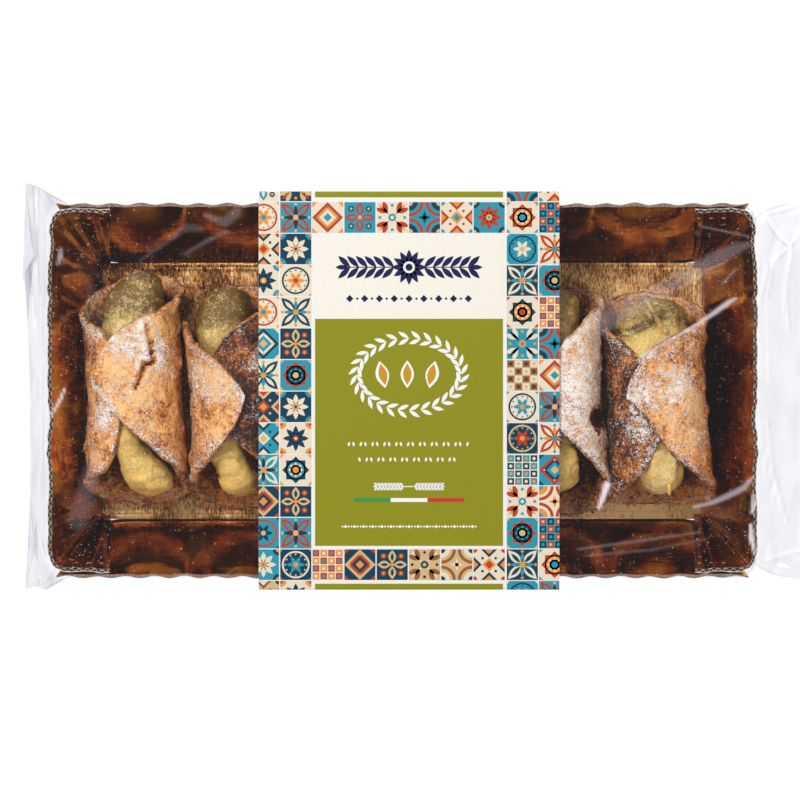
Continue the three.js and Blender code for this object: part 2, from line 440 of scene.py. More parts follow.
@dataclass(frozen=True)
class Dusted:
    """Something to eat in its own colours, stirred by noises, under matt clumps of icing sugar."""

    name: str
    depth: str  # the point value that says how deep the colour is
    tones: tuple[tuple[float, str], ...]
    sugar: str
    noises: tuple[Triple, ...]  # size in millimetres, detail and fineness of each
    in_colour: tuple[tuple[int, float], ...]  # the noises that stir the colour, and how strongly
    in_sugar: tuple[tuple[int, float], ...]
    cover: Triple  # the values at which sugar starts to show and is full, and how well it covers
    roughness: Pair  # bare, and under sugar
    raised: tuple[int, int]  # the noises that stand off the surface
    bump: Pair  # strength, and height in millimetres
    body: dict[str, object]  # other inputs of the shader
    sugar_height: float = 0.0

    def make(self) -> Material:
        """Build the material, which reads its depth and its sugar from the points."""
        graph = Graph(bpy.data.materials.new(self.name))
        place = graph.add("TexCoord").outputs["Object"]
        depth, sugar = (graph.add("Attribute", {"attribute_name": key}).outputs["Fac"] for key in (self.depth, "sugar"))
        noises = [
            graph.add("TexNoise", Vector=place, Scale=per_metre(size), Detail=detail, Roughness=fine)
            for size, detail, fine in self.noises
        ]
        depth, sugar = (
            graph.stirred(value, *((noises[index], weight) for index, weight in weights))
            for value, weights in ((depth, self.in_colour), (sugar, self.in_sugar))
        )
        start, full, most = self.cover
        smooth = {"interpolation_type": "SMOOTHSTEP"}
        dusting = graph.add("MapRange", smooth, Value=sugar, From_Min=start, From_Max=full, To_Max=most)
        ramp = graph.add("ValToRGB", {"ramp": self.tones}, Fac=depth)
        colour = graph.add("Mix", {"data_type": "RGBA"}, in_0=dusting, in_6=ramp, in_7=self.sugar)
        rough = graph.add("MapRange", Value=dusting, To_Min=self.roughness[0], To_Max=self.roughness[1])
        relief = graph.add("Math", in_0=noises[self.raised[0]], in_1=noises[self.raised[1]])
        if self.sugar_height:
            raised = {"operation": "MULTIPLY_ADD"}
            relief = graph.add("Math", raised, in_0=dusting, in_1=self.sugar_height, in_2=relief)
        bump = graph.add("Bump", Height=relief, Strength=self.bump[0], Distance=self.bump[1] * MM)
        inputs = {"Base_Color": colour.outputs[2], "Roughness": rough, "Normal": bump, **self.body}
        return graph.close(graph.add("BsdfPrincipled", **inputs))


def fried_pastry() -> Dusted:
    """Fried pastry, blistered in hot oil: matt, browned in patches, dusted with icing sugar."""
    # Browned patches, blisters, the pores of the crust, clumps of sugar and its grains. Real grains
    # are finer and would not show. Sugar also gathers on the high spots of the blisters.
    noises = ((5.0, 5.0, 0.6), (2.1, 3.0, 0.6), (0.9, 3.0, 0.65), (2.5, 4.0, 0.65), (0.5, 2.0, 0.7))
    return Dusted(
        "fried_pastry", "brown", ((0.0, "#f9c583"), (0.36, "#e09344"), (0.72, "#8d4a22"), (1.0, "#3a1b0e")),
        "#fff5ec", noises, in_colour=((0, 1.5), (1, -1.0), (2, -1.6)),
        in_sugar=((3, 1.7), (4, 2.4), (1, 0.6), (2, 0.9)), cover=(0.38, 0.86, 0.92), roughness=(0.55, 0.95),
        raised=(2, 1), bump=(1.0, 0.9), body={"IOR": 1.45, "Specular_IOR_Level": 0.4}, sugar_height=0.25,
    )


def pistachio_cream() -> Dusted:
    """Piped pistachio cream: soft and a little fatty, mottled by the icing sugar it has soaked up."""
    # Streaks of the piping, mottles and grains of sugar. Light goes a millimetre into it.
    inner_light = {"Subsurface_Weight": 0.1, "Subsurface_Radius": (0.8, 0.6, 0.25), "Subsurface_Scale": 1.2 * MM}
    return Dusted(
        "pistachio_cream", "shade", ((0.0, "#eec468"), (0.8, "#6a4a0a")), "#f1da94",
        ((3.4, 4.0, 0.6), (0.9, 4.0, 0.65), (0.45, 4.0, 0.7)), in_colour=((0, 1.2), (1, 0.9)),
        in_sugar=((0, 1.6), (1, -0.8), (2, 2.4)), cover=(0.3, 0.95, 0.85), roughness=(0.4, 0.9),
        raised=(0, 1), bump=(0.9, 0.6), body={"IOR": 1.47, **inner_light},
    )


@dataclass(frozen=True)
class GoldFoil:
    """Gold foil laminated on board: a mirror, clouded and brushed where it was drawn over the flutes."""

    name: str = "gold_foil"
    tones: tuple[str, ...] = ("#905a45", "#cc8442", "#eab25a", "#dcc06a")
    roughness: float = 0.13
    cloud_mm: float = 19.0  # slow changes of tone along a wall
    ripple_mm: float = 7.0  # waves of the foil over the flutes
    brush_mm: float = 0.8  # the level streaks left by the rollers
    brush_length_mm: float = 22.0
    height_mm: float = 0.35

    def make(self) -> Material:
        """Build the material."""
        graph = Graph(bpy.data.materials.new(self.name))
        place = graph.add("TexCoord").outputs["Object"]
        scale = tuple(per_metre(size) for size in (self.brush_length_mm, self.brush_length_mm, self.brush_mm))
        stretched = graph.add("Mapping", Vector=place, Scale=scale)
        clouds, ripple, brush = (
            graph.add("TexNoise", Vector=source, Scale=size, Detail=detail, Roughness=rough, Distortion=distortion)
            for source, size, detail, rough, distortion in (
                (place, per_metre(self.cloud_mm), 4.0, 0.55, 0.5), (place, per_metre(self.ripple_mm), 3.0, 0.5, 0.0),
                (stretched, 1.0, 3.0, 0.6, 0.0),
            )
        )
        share = graph.add("Math", {"operation": "MULTIPLY_ADD"}, in_0=brush, in_1=0.3, in_2=clouds)
        # Painted reflection: the tone is darker near the fold and lighter towards the rim, standing in for the dark
        # floor and the light that the foil mirrors there.
        height = graph.add("SeparateXYZ", Vector=place).outputs["Z"]
        painted_reflection = graph.add("Math", {"operation": "MULTIPLY_ADD"}, in_0=height, in_1=3.0, in_2=-0.05)
        share = graph.add("Math", in_0=share, in_1=painted_reflection)
        tone = graph.add("ValToRGB", {"ramp": tuple(zip((0.48, 0.62, 0.72, 0.86), self.tones))}, Fac=share)
        relief = graph.add("Math", {"operation": "MULTIPLY_ADD"}, in_0=brush, in_1=0.16, in_2=ripple)
        bump = graph.add("Bump", Height=relief, Strength=0.7, Distance=self.height_mm * MM)
        shader = graph.add("BsdfPrincipled", Base_Color=tone, Normal=bump, Metallic=1.0, Roughness=self.roughness)
        return graph.close(shader)


@dataclass(frozen=True)
class EmbossedFoil:
    """The tray's floor: gold foil pressed with fine streaks across the tray, so it glints in lines, with painted glints
    and painted shade in its colour.
    """

    tones: tuple[str, ...] = ("#3a200e", "#a86e38", "#ffd28f")
    roughness: float = 0.32
    streak_mm: float = 0.45  # spacing of the pressed streaks along the tray
    streak_length_mm: float = 1.7
    broad_mm: float = 9.0  # the slow swell of the pressed sheet, painted as light and shade in the colour
    height_mm: float = 0.2

    def make(self) -> Material:
        """Build the material."""
        graph = Graph(bpy.data.materials.new("embossed_foil"))
        place = graph.add("TexCoord").outputs["Object"]
        scale = tuple(per_metre(size) for size in (self.streak_mm, self.streak_length_mm, self.streak_length_mm))
        stretched = graph.add("Mapping", Vector=place, Scale=scale)
        # Painted glints and painted shade: the streaks and the swell also run the colour from dark to bright gold.
        streaks = graph.add("TexNoise", Vector=stretched, Scale=1.0, Detail=4.0, Roughness=0.7)
        painted_swell_shade = graph.add("TexNoise", Vector=place, Scale=per_metre(self.broad_mm), Detail=3.0, Roughness=0.55)
        painted_light_and_shade = graph.add("Math", {"operation": "MULTIPLY_ADD"}, in_0=painted_swell_shade, in_1=0.6, in_2=streaks)
        # Painted light: the floor's colour grows lighter towards the south and the east.
        painted_light_slope = graph.add("VectorMath", {"operation": "DOT_PRODUCT"}, in_0=place, in_1=(0.57, -1.65, 0.0))
        painted_light_and_shade = graph.add("Math", in_0=painted_light_and_shade, in_1=painted_light_slope.outputs["Value"])
        tone = graph.add("ValToRGB", {"ramp": tuple(zip((0.59, 0.73, 0.91), self.tones))}, Fac=painted_light_and_shade)
        bump = graph.add("Bump", Height=streaks, Strength=0.9, Distance=self.height_mm * MM)
        shader = graph.add("BsdfPrincipled", Base_Color=tone, Normal=bump, Metallic=1.0, Roughness=self.roughness)
        return graph.close(shader)


@dataclass(frozen=True)
class Mottled:
    """A plain matt stuff in two tones that run into each other in soft specks."""

    name: str
    dark: str | tuple[float, ...]
    light: str | tuple[float, ...]
    speck_mm: float
    roughness: float
    detail: float = 4.0
    fine: float = 0.5  # how strongly the smallest specks show
    spread: float = 0.15  # how far the ramp reaches to both sides of its middle
    relief: Pair | None = None  # strength and height in millimetres
    coat: Pair | None = None  # IOR and specular level of a varnish

    def make(self) -> Material:
        """Build the material."""
        graph = Graph(bpy.data.materials.new(self.name))
        place = graph.add("TexCoord").outputs["Object"]
        specks = graph.add(
            "TexNoise", Vector=place, Scale=per_metre(self.speck_mm), Detail=self.detail, Roughness=self.fine
        )
        stops = ((0.5 - self.spread, self.dark), (0.5 + self.spread, self.light))
        inputs = {"Base_Color": graph.add("ValToRGB", {"ramp": stops}, Fac=specks), "Roughness": self.roughness}
        if self.relief:
            strength, height_mm = self.relief
            inputs["Normal"] = graph.add("Bump", Height=specks, Strength=strength, Distance=height_mm * MM)
        if self.coat:
            inputs["IOR"], inputs["Specular_IOR_Level"] = self.coat
        return graph.close(graph.add("BsdfPrincipled", **inputs))


def paper(name: str, light: str, dark: str) -> Mottled:
    """Uncoated paper of the board: soft and matt, with faint fibres."""
    return Mottled(name, dark, light, speck_mm=0.7, roughness=0.8, fine=0.7, relief=(0.25, 0.05))


def coated_ink(name: str, colour: str, mottle: float = 0.035) -> Mottled:
    """Offset ink on coated card: an even colour, a satin varnish and a trace of paper tooth.

    Args:
        name: the material's name.
        colour: the ink as it looks in white light; coated card gives back two thirds of it.
        mottle: how much the ink's density wanders.

    Returns:
        The finish.
    """
    reflectance = 0.67
    thick, thin = (
        (*(v * reflectance * (1.0 + sign * mottle) for v in linear(colour)[:3]), 1.0) for sign in (-1.0, 1.0)
    )
    return Mottled(name, thick, thin, 0.35, roughness=0.5, detail=3.0, fine=0.6, relief=(0.12, 0.03), coat=(1.5, 0.12))


@dataclass(frozen=True)
class ClearFilm:
    """Cast polypropylene film, 30 microns: clear and very glossy, with painted highlights as a milky white along its
    creases and bands.
    """

    tint: str = "#fdfdfe"
    seal_tints: tuple[str, ...] = ("#dedde3", "#ecebef")
    milk: str = "#efe2e6"
    facing_gloss: float = 0.06  # both faces of the film reflect, so twice that of one face
    roughness: float = 0.04
    drape_mm: float = 11.0  # the soft waves of the seals, in their bump and their painted shade
    drape_height_mm: float = 0.1

    def make(self) -> Material:
        """Build the material, which reads the point values named seal and milk.

        Returns:
            The material: clear, with a mirror that grows towards grazing angles.
        """
        graph = Graph(bpy.data.materials.new("clear_film"))
        place = graph.add("TexCoord").outputs["Object"]
        seal, milk = (graph.add("Attribute", {"attribute_name": key}).outputs["Fac"] for key in ("seal", "milk"))
        stretched = graph.add("Mapping", Vector=place, Scale=(1.6, 0.7, 1.0))
        drape = graph.add(
            "TexNoise", Vector=stretched, Scale=per_metre(self.drape_mm), Detail=2.5, Roughness=0.5, Distortion=0.7
        )
        # Painted shade: the seals' grey tint runs darker and lighter with the waves of the drape.
        shade = graph.add("ValToRGB", {"ramp": tuple(zip((0.38, 0.62), self.seal_tints))}, Fac=drape)
        tint = graph.add("Mix", {"data_type": "RGBA"}, in_0=seal, in_6=self.tint, in_7=shade)
        bump = graph.add("Bump", Height=drape, Strength=0.5, Distance=self.drape_height_mm * MM)
        clear = graph.add("BsdfTransparent", Color=tint.outputs[2])
        # Painted highlights: where the film's point value says so, it turns white and matt.
        crease = graph.add("BsdfDiffuse", Color=self.milk)
        body = graph.add("MixShader", in_0=milk, in_1=clear, in_2=crease)
        mirror = graph.add("BsdfAnisotropic", Roughness=self.roughness, Normal=bump)
        # The mirror's share is the same from both sides: a steep curve of the angle to the film.
        facing = graph.add("LayerWeight", Blend=0.5, Normal=bump).outputs["Facing"]
        steep = graph.add("Math", {"operation": "POWER"}, in_0=facing, in_1=4.5)
        share = graph.add(
            "Math", {"operation": "MULTIPLY_ADD", "use_clamp": True}, in_0=steep, in_1=0.7, in_2=self.facing_gloss
        )
        return graph.close(graph.add("MixShader", in_0=share, in_1=body, in_2=mirror))


class Finishes:
    """Every material of the pack but the print's inks, made once."""

    def __init__(self) -> None:
        """Make the materials."""
        self.pastry = fried_pastry().make()
        self.cream = pistachio_cream().make()
        self.foil = GoldFoil().make()
        # Painted shade: the end walls get a darker copy of the same gold foil.
        self.end_foil_in_shade = GoldFoil("gold_foil_ends_in_shade", ("#6e4437", "#b06d36", "#d29a4c", "#c9ad5c")).make()
        self.floor_foil = EmbossedFoil().make()
        self.paper_edge = paper("white_paper_edge", "#f0e4d4", "#b09a86").make()
        # Painted shade: a dark copy of the kraft for the faces inside the fluted board, where shade falls.
        self.core = paper("inner_paper_in_shade", "#3a2a22", "#1f1611").make()
        self.kraft = paper("kraft_paper", "#937b6c", "#5d483d").make()
        # Loose icing sugar: white crystals, matt but for a faint glint.
        self.sugar = Mottled("icing_sugar", "#e6d8cd", "#f7f0ea", 1.2, 0.55, detail=2.0, spread=0.2).make()
        # Crumbs of broken crust: rough and golden brown.
        self.crumb = Mottled("pastry_crumb", "#8a4f28", "#d99a5a", 1.0, 0.75).make()
        self.card = coated_ink("coated_card", "#f8f6f1", mottle=0.02).make()
        self.film = ClearFilm().make()


# ---- How the pack is laid out ----

RIM_Z = 36.8
FLOOR_TOP = 2.5  # upper face of the tray's floor
TRAY_WALL = 1.4  # thickness of the fluted board, crushed a little at its edge


@dataclass(frozen=True)
class Strand:
    """One run of piped cream along a roll; the pairs are for its lower and its upper mouth."""

    stations: tuple[tuple[float, float, float, float, float], ...]  # y, x, z, radius across and up
    shade: Pair = (0.15, 0.75)  # depth of colour; the upper mouth's darker cream is painted shade
    sugar: Pair = (0.05, 0.35)
    ridges: int = 0
    furrow: tuple[Pair, ...] = ()  # a fold in the cream, painted dark as shade, as x and y in the roll


@dataclass(frozen=True)
class Flap:
    """One flap of a shell. Its edge is given from the roll's middle: below, at the side and on top."""

    north: Triple
    south: Triple
    tip: float  # degrees round the roll at which it ends
    brown: float
    sugar: float
    closing: float = 45.0  # degrees over which its tip rounds off


@dataclass(frozen=True)
class Roll:
    """One roll: where it lies, how its two flaps are cut, and how it is browned and dusted."""

    name: str
    x: float
    y: float
    half_width: float
    upper_from_right: bool
    over: Flap
    under: Flap
    cream: tuple[Strand, ...]
    # Spots that differ: degrees round the roll (0 below, 90 on the upper flap's side, 180 on top),
    # y, size, and how much browner and more sugared they are.
    patches: tuple[tuple[float, ...], ...] = ()
    lean: float = -0.045  # how far the shell shifts along X for each millimetre along Y
    waist: float = 0.06
    crack: tuple[Pair, ...] = ()
    dent: tuple[float, float, float, float] | None = None  # x, y, half-sizes across and along
    step: float = 0.75  # width of the mesh's cells

    def leaned(self, points: Array) -> Array:
        """Turn points of the upright shell to the slant at which the roll lies in the tray."""
        return points + np.outer(points[:, 1] - self.y, [self.lean, 0.0, 0.0])


def hidden_cream(lean: float) -> Strand:
    """Give the plain filling of a roll that lies under the sleeve.

    Args:
        lean: how far its ends lie to the sides.

    Returns:
        The one strand of cream.
    """
    return Strand(
        (
            (37.2, lean, 20, 2, 2.5), (35.5, lean, 20.5, 8.5, 9), (29, lean, 21.5, 11.8, 12.4),
            (16, 0, 21, 12.4, 12.6), (0, 0, 20, 12, 12), (-16, 0, 21, 10.6, 11.6),
            (-28, -lean, 22, 9.6, 11), (-34.5, -lean, 21.5, 6.5, 8), (-37, -lean, 21, 1.8, 2),
        )
    )


ROLLS = (
    Roll(
        "roll_1", -92.4, 1.4, 17.3, upper_from_right=True, lean=-0.035, waist=0.07,
        over=Flap((40.4, 33.2, 20.4), (40.4, 34, 14.8), 223, 0.24, 0.1),
        under=Flap((40.4, 26.5, 13.6), (40.4, 35, 23), 168, 0.36, 0.12, closing=25),
        crack=((6.6, 20.6), (7.4, 17.3), (7.9, 12.3), (8.6, 8.4), (5.4, 7.2), (4.2, 3.8), (2.0, -0.9)),
        cream=(
            Strand((
                (39.6, 3, 19.5, 2, 2.4), (37.8, 2.8, 20.5, 5.2, 6.8), (34.5, 1.8, 21.6, 8, 10.2),
                (29, 0.6, 22.2, 10, 11.8), (22, 0, 22.4, 10.6, 12.2), (13, 0, 21.6, 10.8, 12), (0, 0, 20, 11, 12),
                (-9, -1.6, 21, 8.2, 10.4), (-14.8, -3.6, 22.4, 5.6, 9), (-21.5, -0.4, 22.8, 6.6, 9.4),
                (-29, 4.6, 23, 8, 10.2), (-34.6, 5.6, 22.2, 7, 8.6), (-37.4, 5.8, 21.6, 2.2, 2.8),
            ), shade=(0.16, 0.76), sugar=(0.24, 0.44)),
        ),
        patches=(
            (125, 9, 8, -0.1, 0.22), (193, 15, 5, -0.05, 0.25), (212, -9, 5, 0, 0.4), (-148, -10, 6, 0, 0.5),
            (150, -22, 5, 0, 0.25), (105, 14, 9, 0.2, -0.1), (105, -14, 10, 0.2, -0.1), (163, 13, 7, -0.1, 0.62),
            (190, 2, 9, -0.12, 0.14), (165, -12, 6, -0.05, 0.22), (215, 0, 6, 0.1, 0), (-130, 16, 6, 0, 0.25),
            (-120, -18, 8, 0, 0.2), (150, -26, 6, 0.2, 0), (-150, 21, 6, -0.15, 0.4),
        ),
    ),
    Roll(
        "roll_2", -56.8, -2, 17.2, upper_from_right=False, waist=0.03,
        over=Flap((38.4, 25.5, 9), (38.4, 31.6, 14.4), 189, 0.3, 0.24),
        under=Flap((38.4, 34.6, 22), (38.4, 31.6, 15), 222, 1, 0.02),
        cream=(
            Strand((
                (37.6, -3, 19.6, 2, 2.5), (35.8, -3.4, 20.6, 6.4, 8), (31, -4, 21.8, 9.2, 11.2),
                (22, -3.6, 22, 10.2, 12.2), (10, 0, 21, 10.6, 12), (-6, -1, 20.6, 8.6, 10.4),
                (-15, -3.2, 22, 5.8, 9.4), (-20.5, -3, 22.4, 6.6, 9.6), (-24.6, -0.8, 22.2, 6, 9),
                (-28.6, 0.6, 22, 6.6, 9), (-32.4, 0.8, 21.2, 5.2, 6.8), (-34.4, 0.8, 20.8, 1.6, 2),
            ), shade=(0.08, 0.74), sugar=(0.26, 0.34)),
        ),
        patches=(
            (150, 8, 9, -0.14, 0.24), (110, -8, 9, 0.14, 0.05), (-150, 11, 6, -0.3, 0.6), (-160, -4, 5, 0, 0.3),
            (-120, -14, 8, 0.2, -0.1), (100, 24, 7, 0.22, 0),
        ),
    ),
    Roll(
        "roll_3", -20.5, 0, 17, upper_from_right=True, step=1.2,
        over=Flap((39, 32, 17), (39, 33, 15), 215, 0.3, 0.34),
        under=Flap((39, 30, 13), (39, 32, 14), 200, 0.42, 0.24),
        cream=(hidden_cream(1.2),),
    ),
    Roll(
        "roll_4", 15.6, 0.6, 17, upper_from_right=False, step=1.2,
        over=Flap((39, 31, 16), (39, 33, 17), 212, 0.32, 0.36),
        under=Flap((39, 32, 15), (39, 30, 13), 200, 0.45, 0.24),
        cream=(hidden_cream(-1.4),),
    ),
    Roll(
        "roll_5", 53.6, -3.4, 16.8, upper_from_right=True, waist=0.09, dent=(12.7, -6.2, 2.6, 4.3),
        over=Flap((39.1, 35.6, 17.8), (39.1, 32, 10.7), 214, 0.22, 0.6),
        under=Flap((39.1, 30.6, 14), (39.1, 32.6, 15), 200, 0.42, 0.3),
        cream=(
            Strand((
                (38, 0, 19.6, 2, 2.5), (36.2, 0, 20.4, 5.8, 7.4), (31, -0.4, 21.8, 7.8, 11),
                (21, -0.8, 22, 8.6, 12.2), (8, 0, 20.8, 10.4, 12), (-6, -1, 20.6, 9.6, 11),
                (-13, -1.4, 21.6, 7.4, 10.2), (-20, -1.2, 22.6, 8.6, 10.8), (-25.8, -1.2, 22.4, 8, 10),
                (-29.8, -1.2, 21.8, 5.4, 7.2), (-31.6, -1.2, 21.2, 1.6, 2),
            ), shade=(0.06, 0.5), sugar=(0.3, 0.36)),
        ),
        patches=(
            (150, 10, 9, -0.12, 0.2), (170, -2, 8, -0.08, 0.18), (110, 20, 7, 0.18, -0.2), (105, -20, 8, 0.2, -0.25),
            (100, 0, 6, 0.15, -0.2),
        ),
    ),
    Roll(
        "roll_6", 87.4, -2.3, 18, upper_from_right=True, lean=-0.055, waist=0.05,
        over=Flap((36.4, 29.4, 17.8), (36.6, 34.2, 15.5), 214, 0.34, 0.24),
        under=Flap((36.4, 27.4, 8), (36.6, 35.2, 14.6), 203, 0.8, 0.26),
        cream=(
            Strand((
                (34.4, -2, 19.4, 2.4, 2.8), (33, -2, 20.2, 8, 8), (29.6, -2, 20.8, 11.4, 10.6),
                (24.6, -2.2, 20.9, 12.2, 11.4), (20.6, -2.2, 21.6, 12.2, 12.8), (15, -1.6, 21.8, 12, 13),
                (6, 0, 20.8, 11.6, 12.4), (-6, 0.6, 20.6, 9.8, 11.4), (-14, 1, 21.8, 7.4, 10.2),
                (-20, 1, 22.6, 8.4, 10.8), (-26.6, 1, 22.2, 8.2, 10.2), (-30.6, 1, 21.4, 6, 7.6),
                (-33.2, 1, 20.6, 2, 2.6),
            ), shade=(0.26, 0.52), sugar=(0.7, 0.36), ridges=9,
                furrow=((-15.0, 22.3), (-11.2, 22.0), (-7.0, 23.2), (-3.6, 24.6), (0.6, 26.8), (2.4, 28.8))),
            Strand((
                (33.6, -4.4, 29, 0.5, 0.5), (32.4, -3.8, 30.6, 1, 1.2), (29, -2.2, 32, 1.1, 1.4),
                (25.4, -0.2, 32.8, 1.1, 1.4), (22.6, 1.6, 33.6, 1.2, 1.3), (21.4, 2.4, 33.8, 0.5, 0.5),
            ), shade=(0.15, 0.4), sugar=(0.05, 0.2)),
            Strand((
                (-29.4, 3.4, 30.6, 0.3, 0.3), (-30.2, 3.5, 31, 0.6, 0.6), (-32.4, 3.6, 30, 0.6, 0.6),
                (-33.4, 3.7, 29.2, 0.3, 0.3),
            ), shade=(0, 0.75)),
        ),
        patches=(
            (163, 4, 7, -0.2, 0.45), (203, -9, 5, 0.4, -0.3), (212, 8, 4, 0.25, 0), (200, 2, 5, 0.1, 0.55),
            (140, -8, 10, -0.05, 0.1), (105, 10, 8, 0.2, -0.2), (110, -24, 8, 0.16, -0.15),
            (-155, -10, 7, -0.1, 0.38), (-120, 10, 10, 0.15, -0.1), (-160, 6, 7, 0.1, 0),
        ),
    ),
)


@dataclass(frozen=True)
class Lid:
    """How high the film lies over each point of the tray, in millimetres."""

    crest: float = 39.1
    flap_step: float = 0.35  # the upper flap's edge, felt through the film
    valley: float = 1.4  # dip between two rolls
    mouth: float = 0.4  # dip over a roll's open end
    sag: float = 0.7  # between the rolls' ends and the rim
    half_length: float = 120.0
    half_width: float = 63.5
    roll_radius: float = 17.8
    roll_half_length: float = 37.5
    last_roll: float = 91.2  # how far the outermost roll lies from the middle
    crossing: float = 13.5
    spread: float = 0.62

    def height(self, x: Array, y: Array) -> Array:
        """Give the film's height.

        Args:
            x: places along the tray.
            y: places across the tray.

        Returns:
            One height for each place.
        """
        middles = np.array([(roll.x, roll.y) for roll in ROLLS])
        near_x, near_y = middles[np.argmin(np.abs(x[:, None] - middles[:, 0]), axis=1)].T
        across, along = x - near_x, np.abs(y - near_y)
        side = np.clip(np.abs(across) / self.roll_radius, 0.0, 1.0)
        bearing = 1.0 - ease(self.roll_half_length - 6.0, self.roll_half_length + 4.0, along)
        valley = self.valley * 0.5 * (1.0 - np.cos(np.pi * side)) * bearing
        mouth_half = np.maximum((along - self.crossing) * self.spread, 1e-6)
        mouth = self.mouth * (1.0 - ease(0.5, 1.0, np.abs(across) / mouth_half)) * (along > self.crossing)
        edge = 0.3 * self.roll_radius * np.cos(0.5 * np.pi * np.clip(along / self.crossing, 0.0, 1.0))
        flap = self.flap_step * (1.0 - ease(0.0, 3.0, across - edge)) * (1.0 - side * side)
        to_long = (self.half_width - np.abs(y)) / (self.half_width - self.roll_half_length)
        to_short = (self.half_length - np.abs(x)) / (self.half_length - self.last_roll - 0.5 * self.roll_radius)
        inward = np.clip(np.minimum(to_long, to_short), 0.0, 1.0)
        plain = mix(RIM_Z, self.crest - self.flap_step, ease(0.0, 1.0, inward))
        return plain - self.sag * np.sin(np.pi * inward) - valley * inward + (flap - mouth) * bearing * inward


# ---- Pastry and cream ----

# Where loose grains may lie: points, the unit vectors away from them and how likely each is.
Spots = list[tuple[Array, Array, Array]]


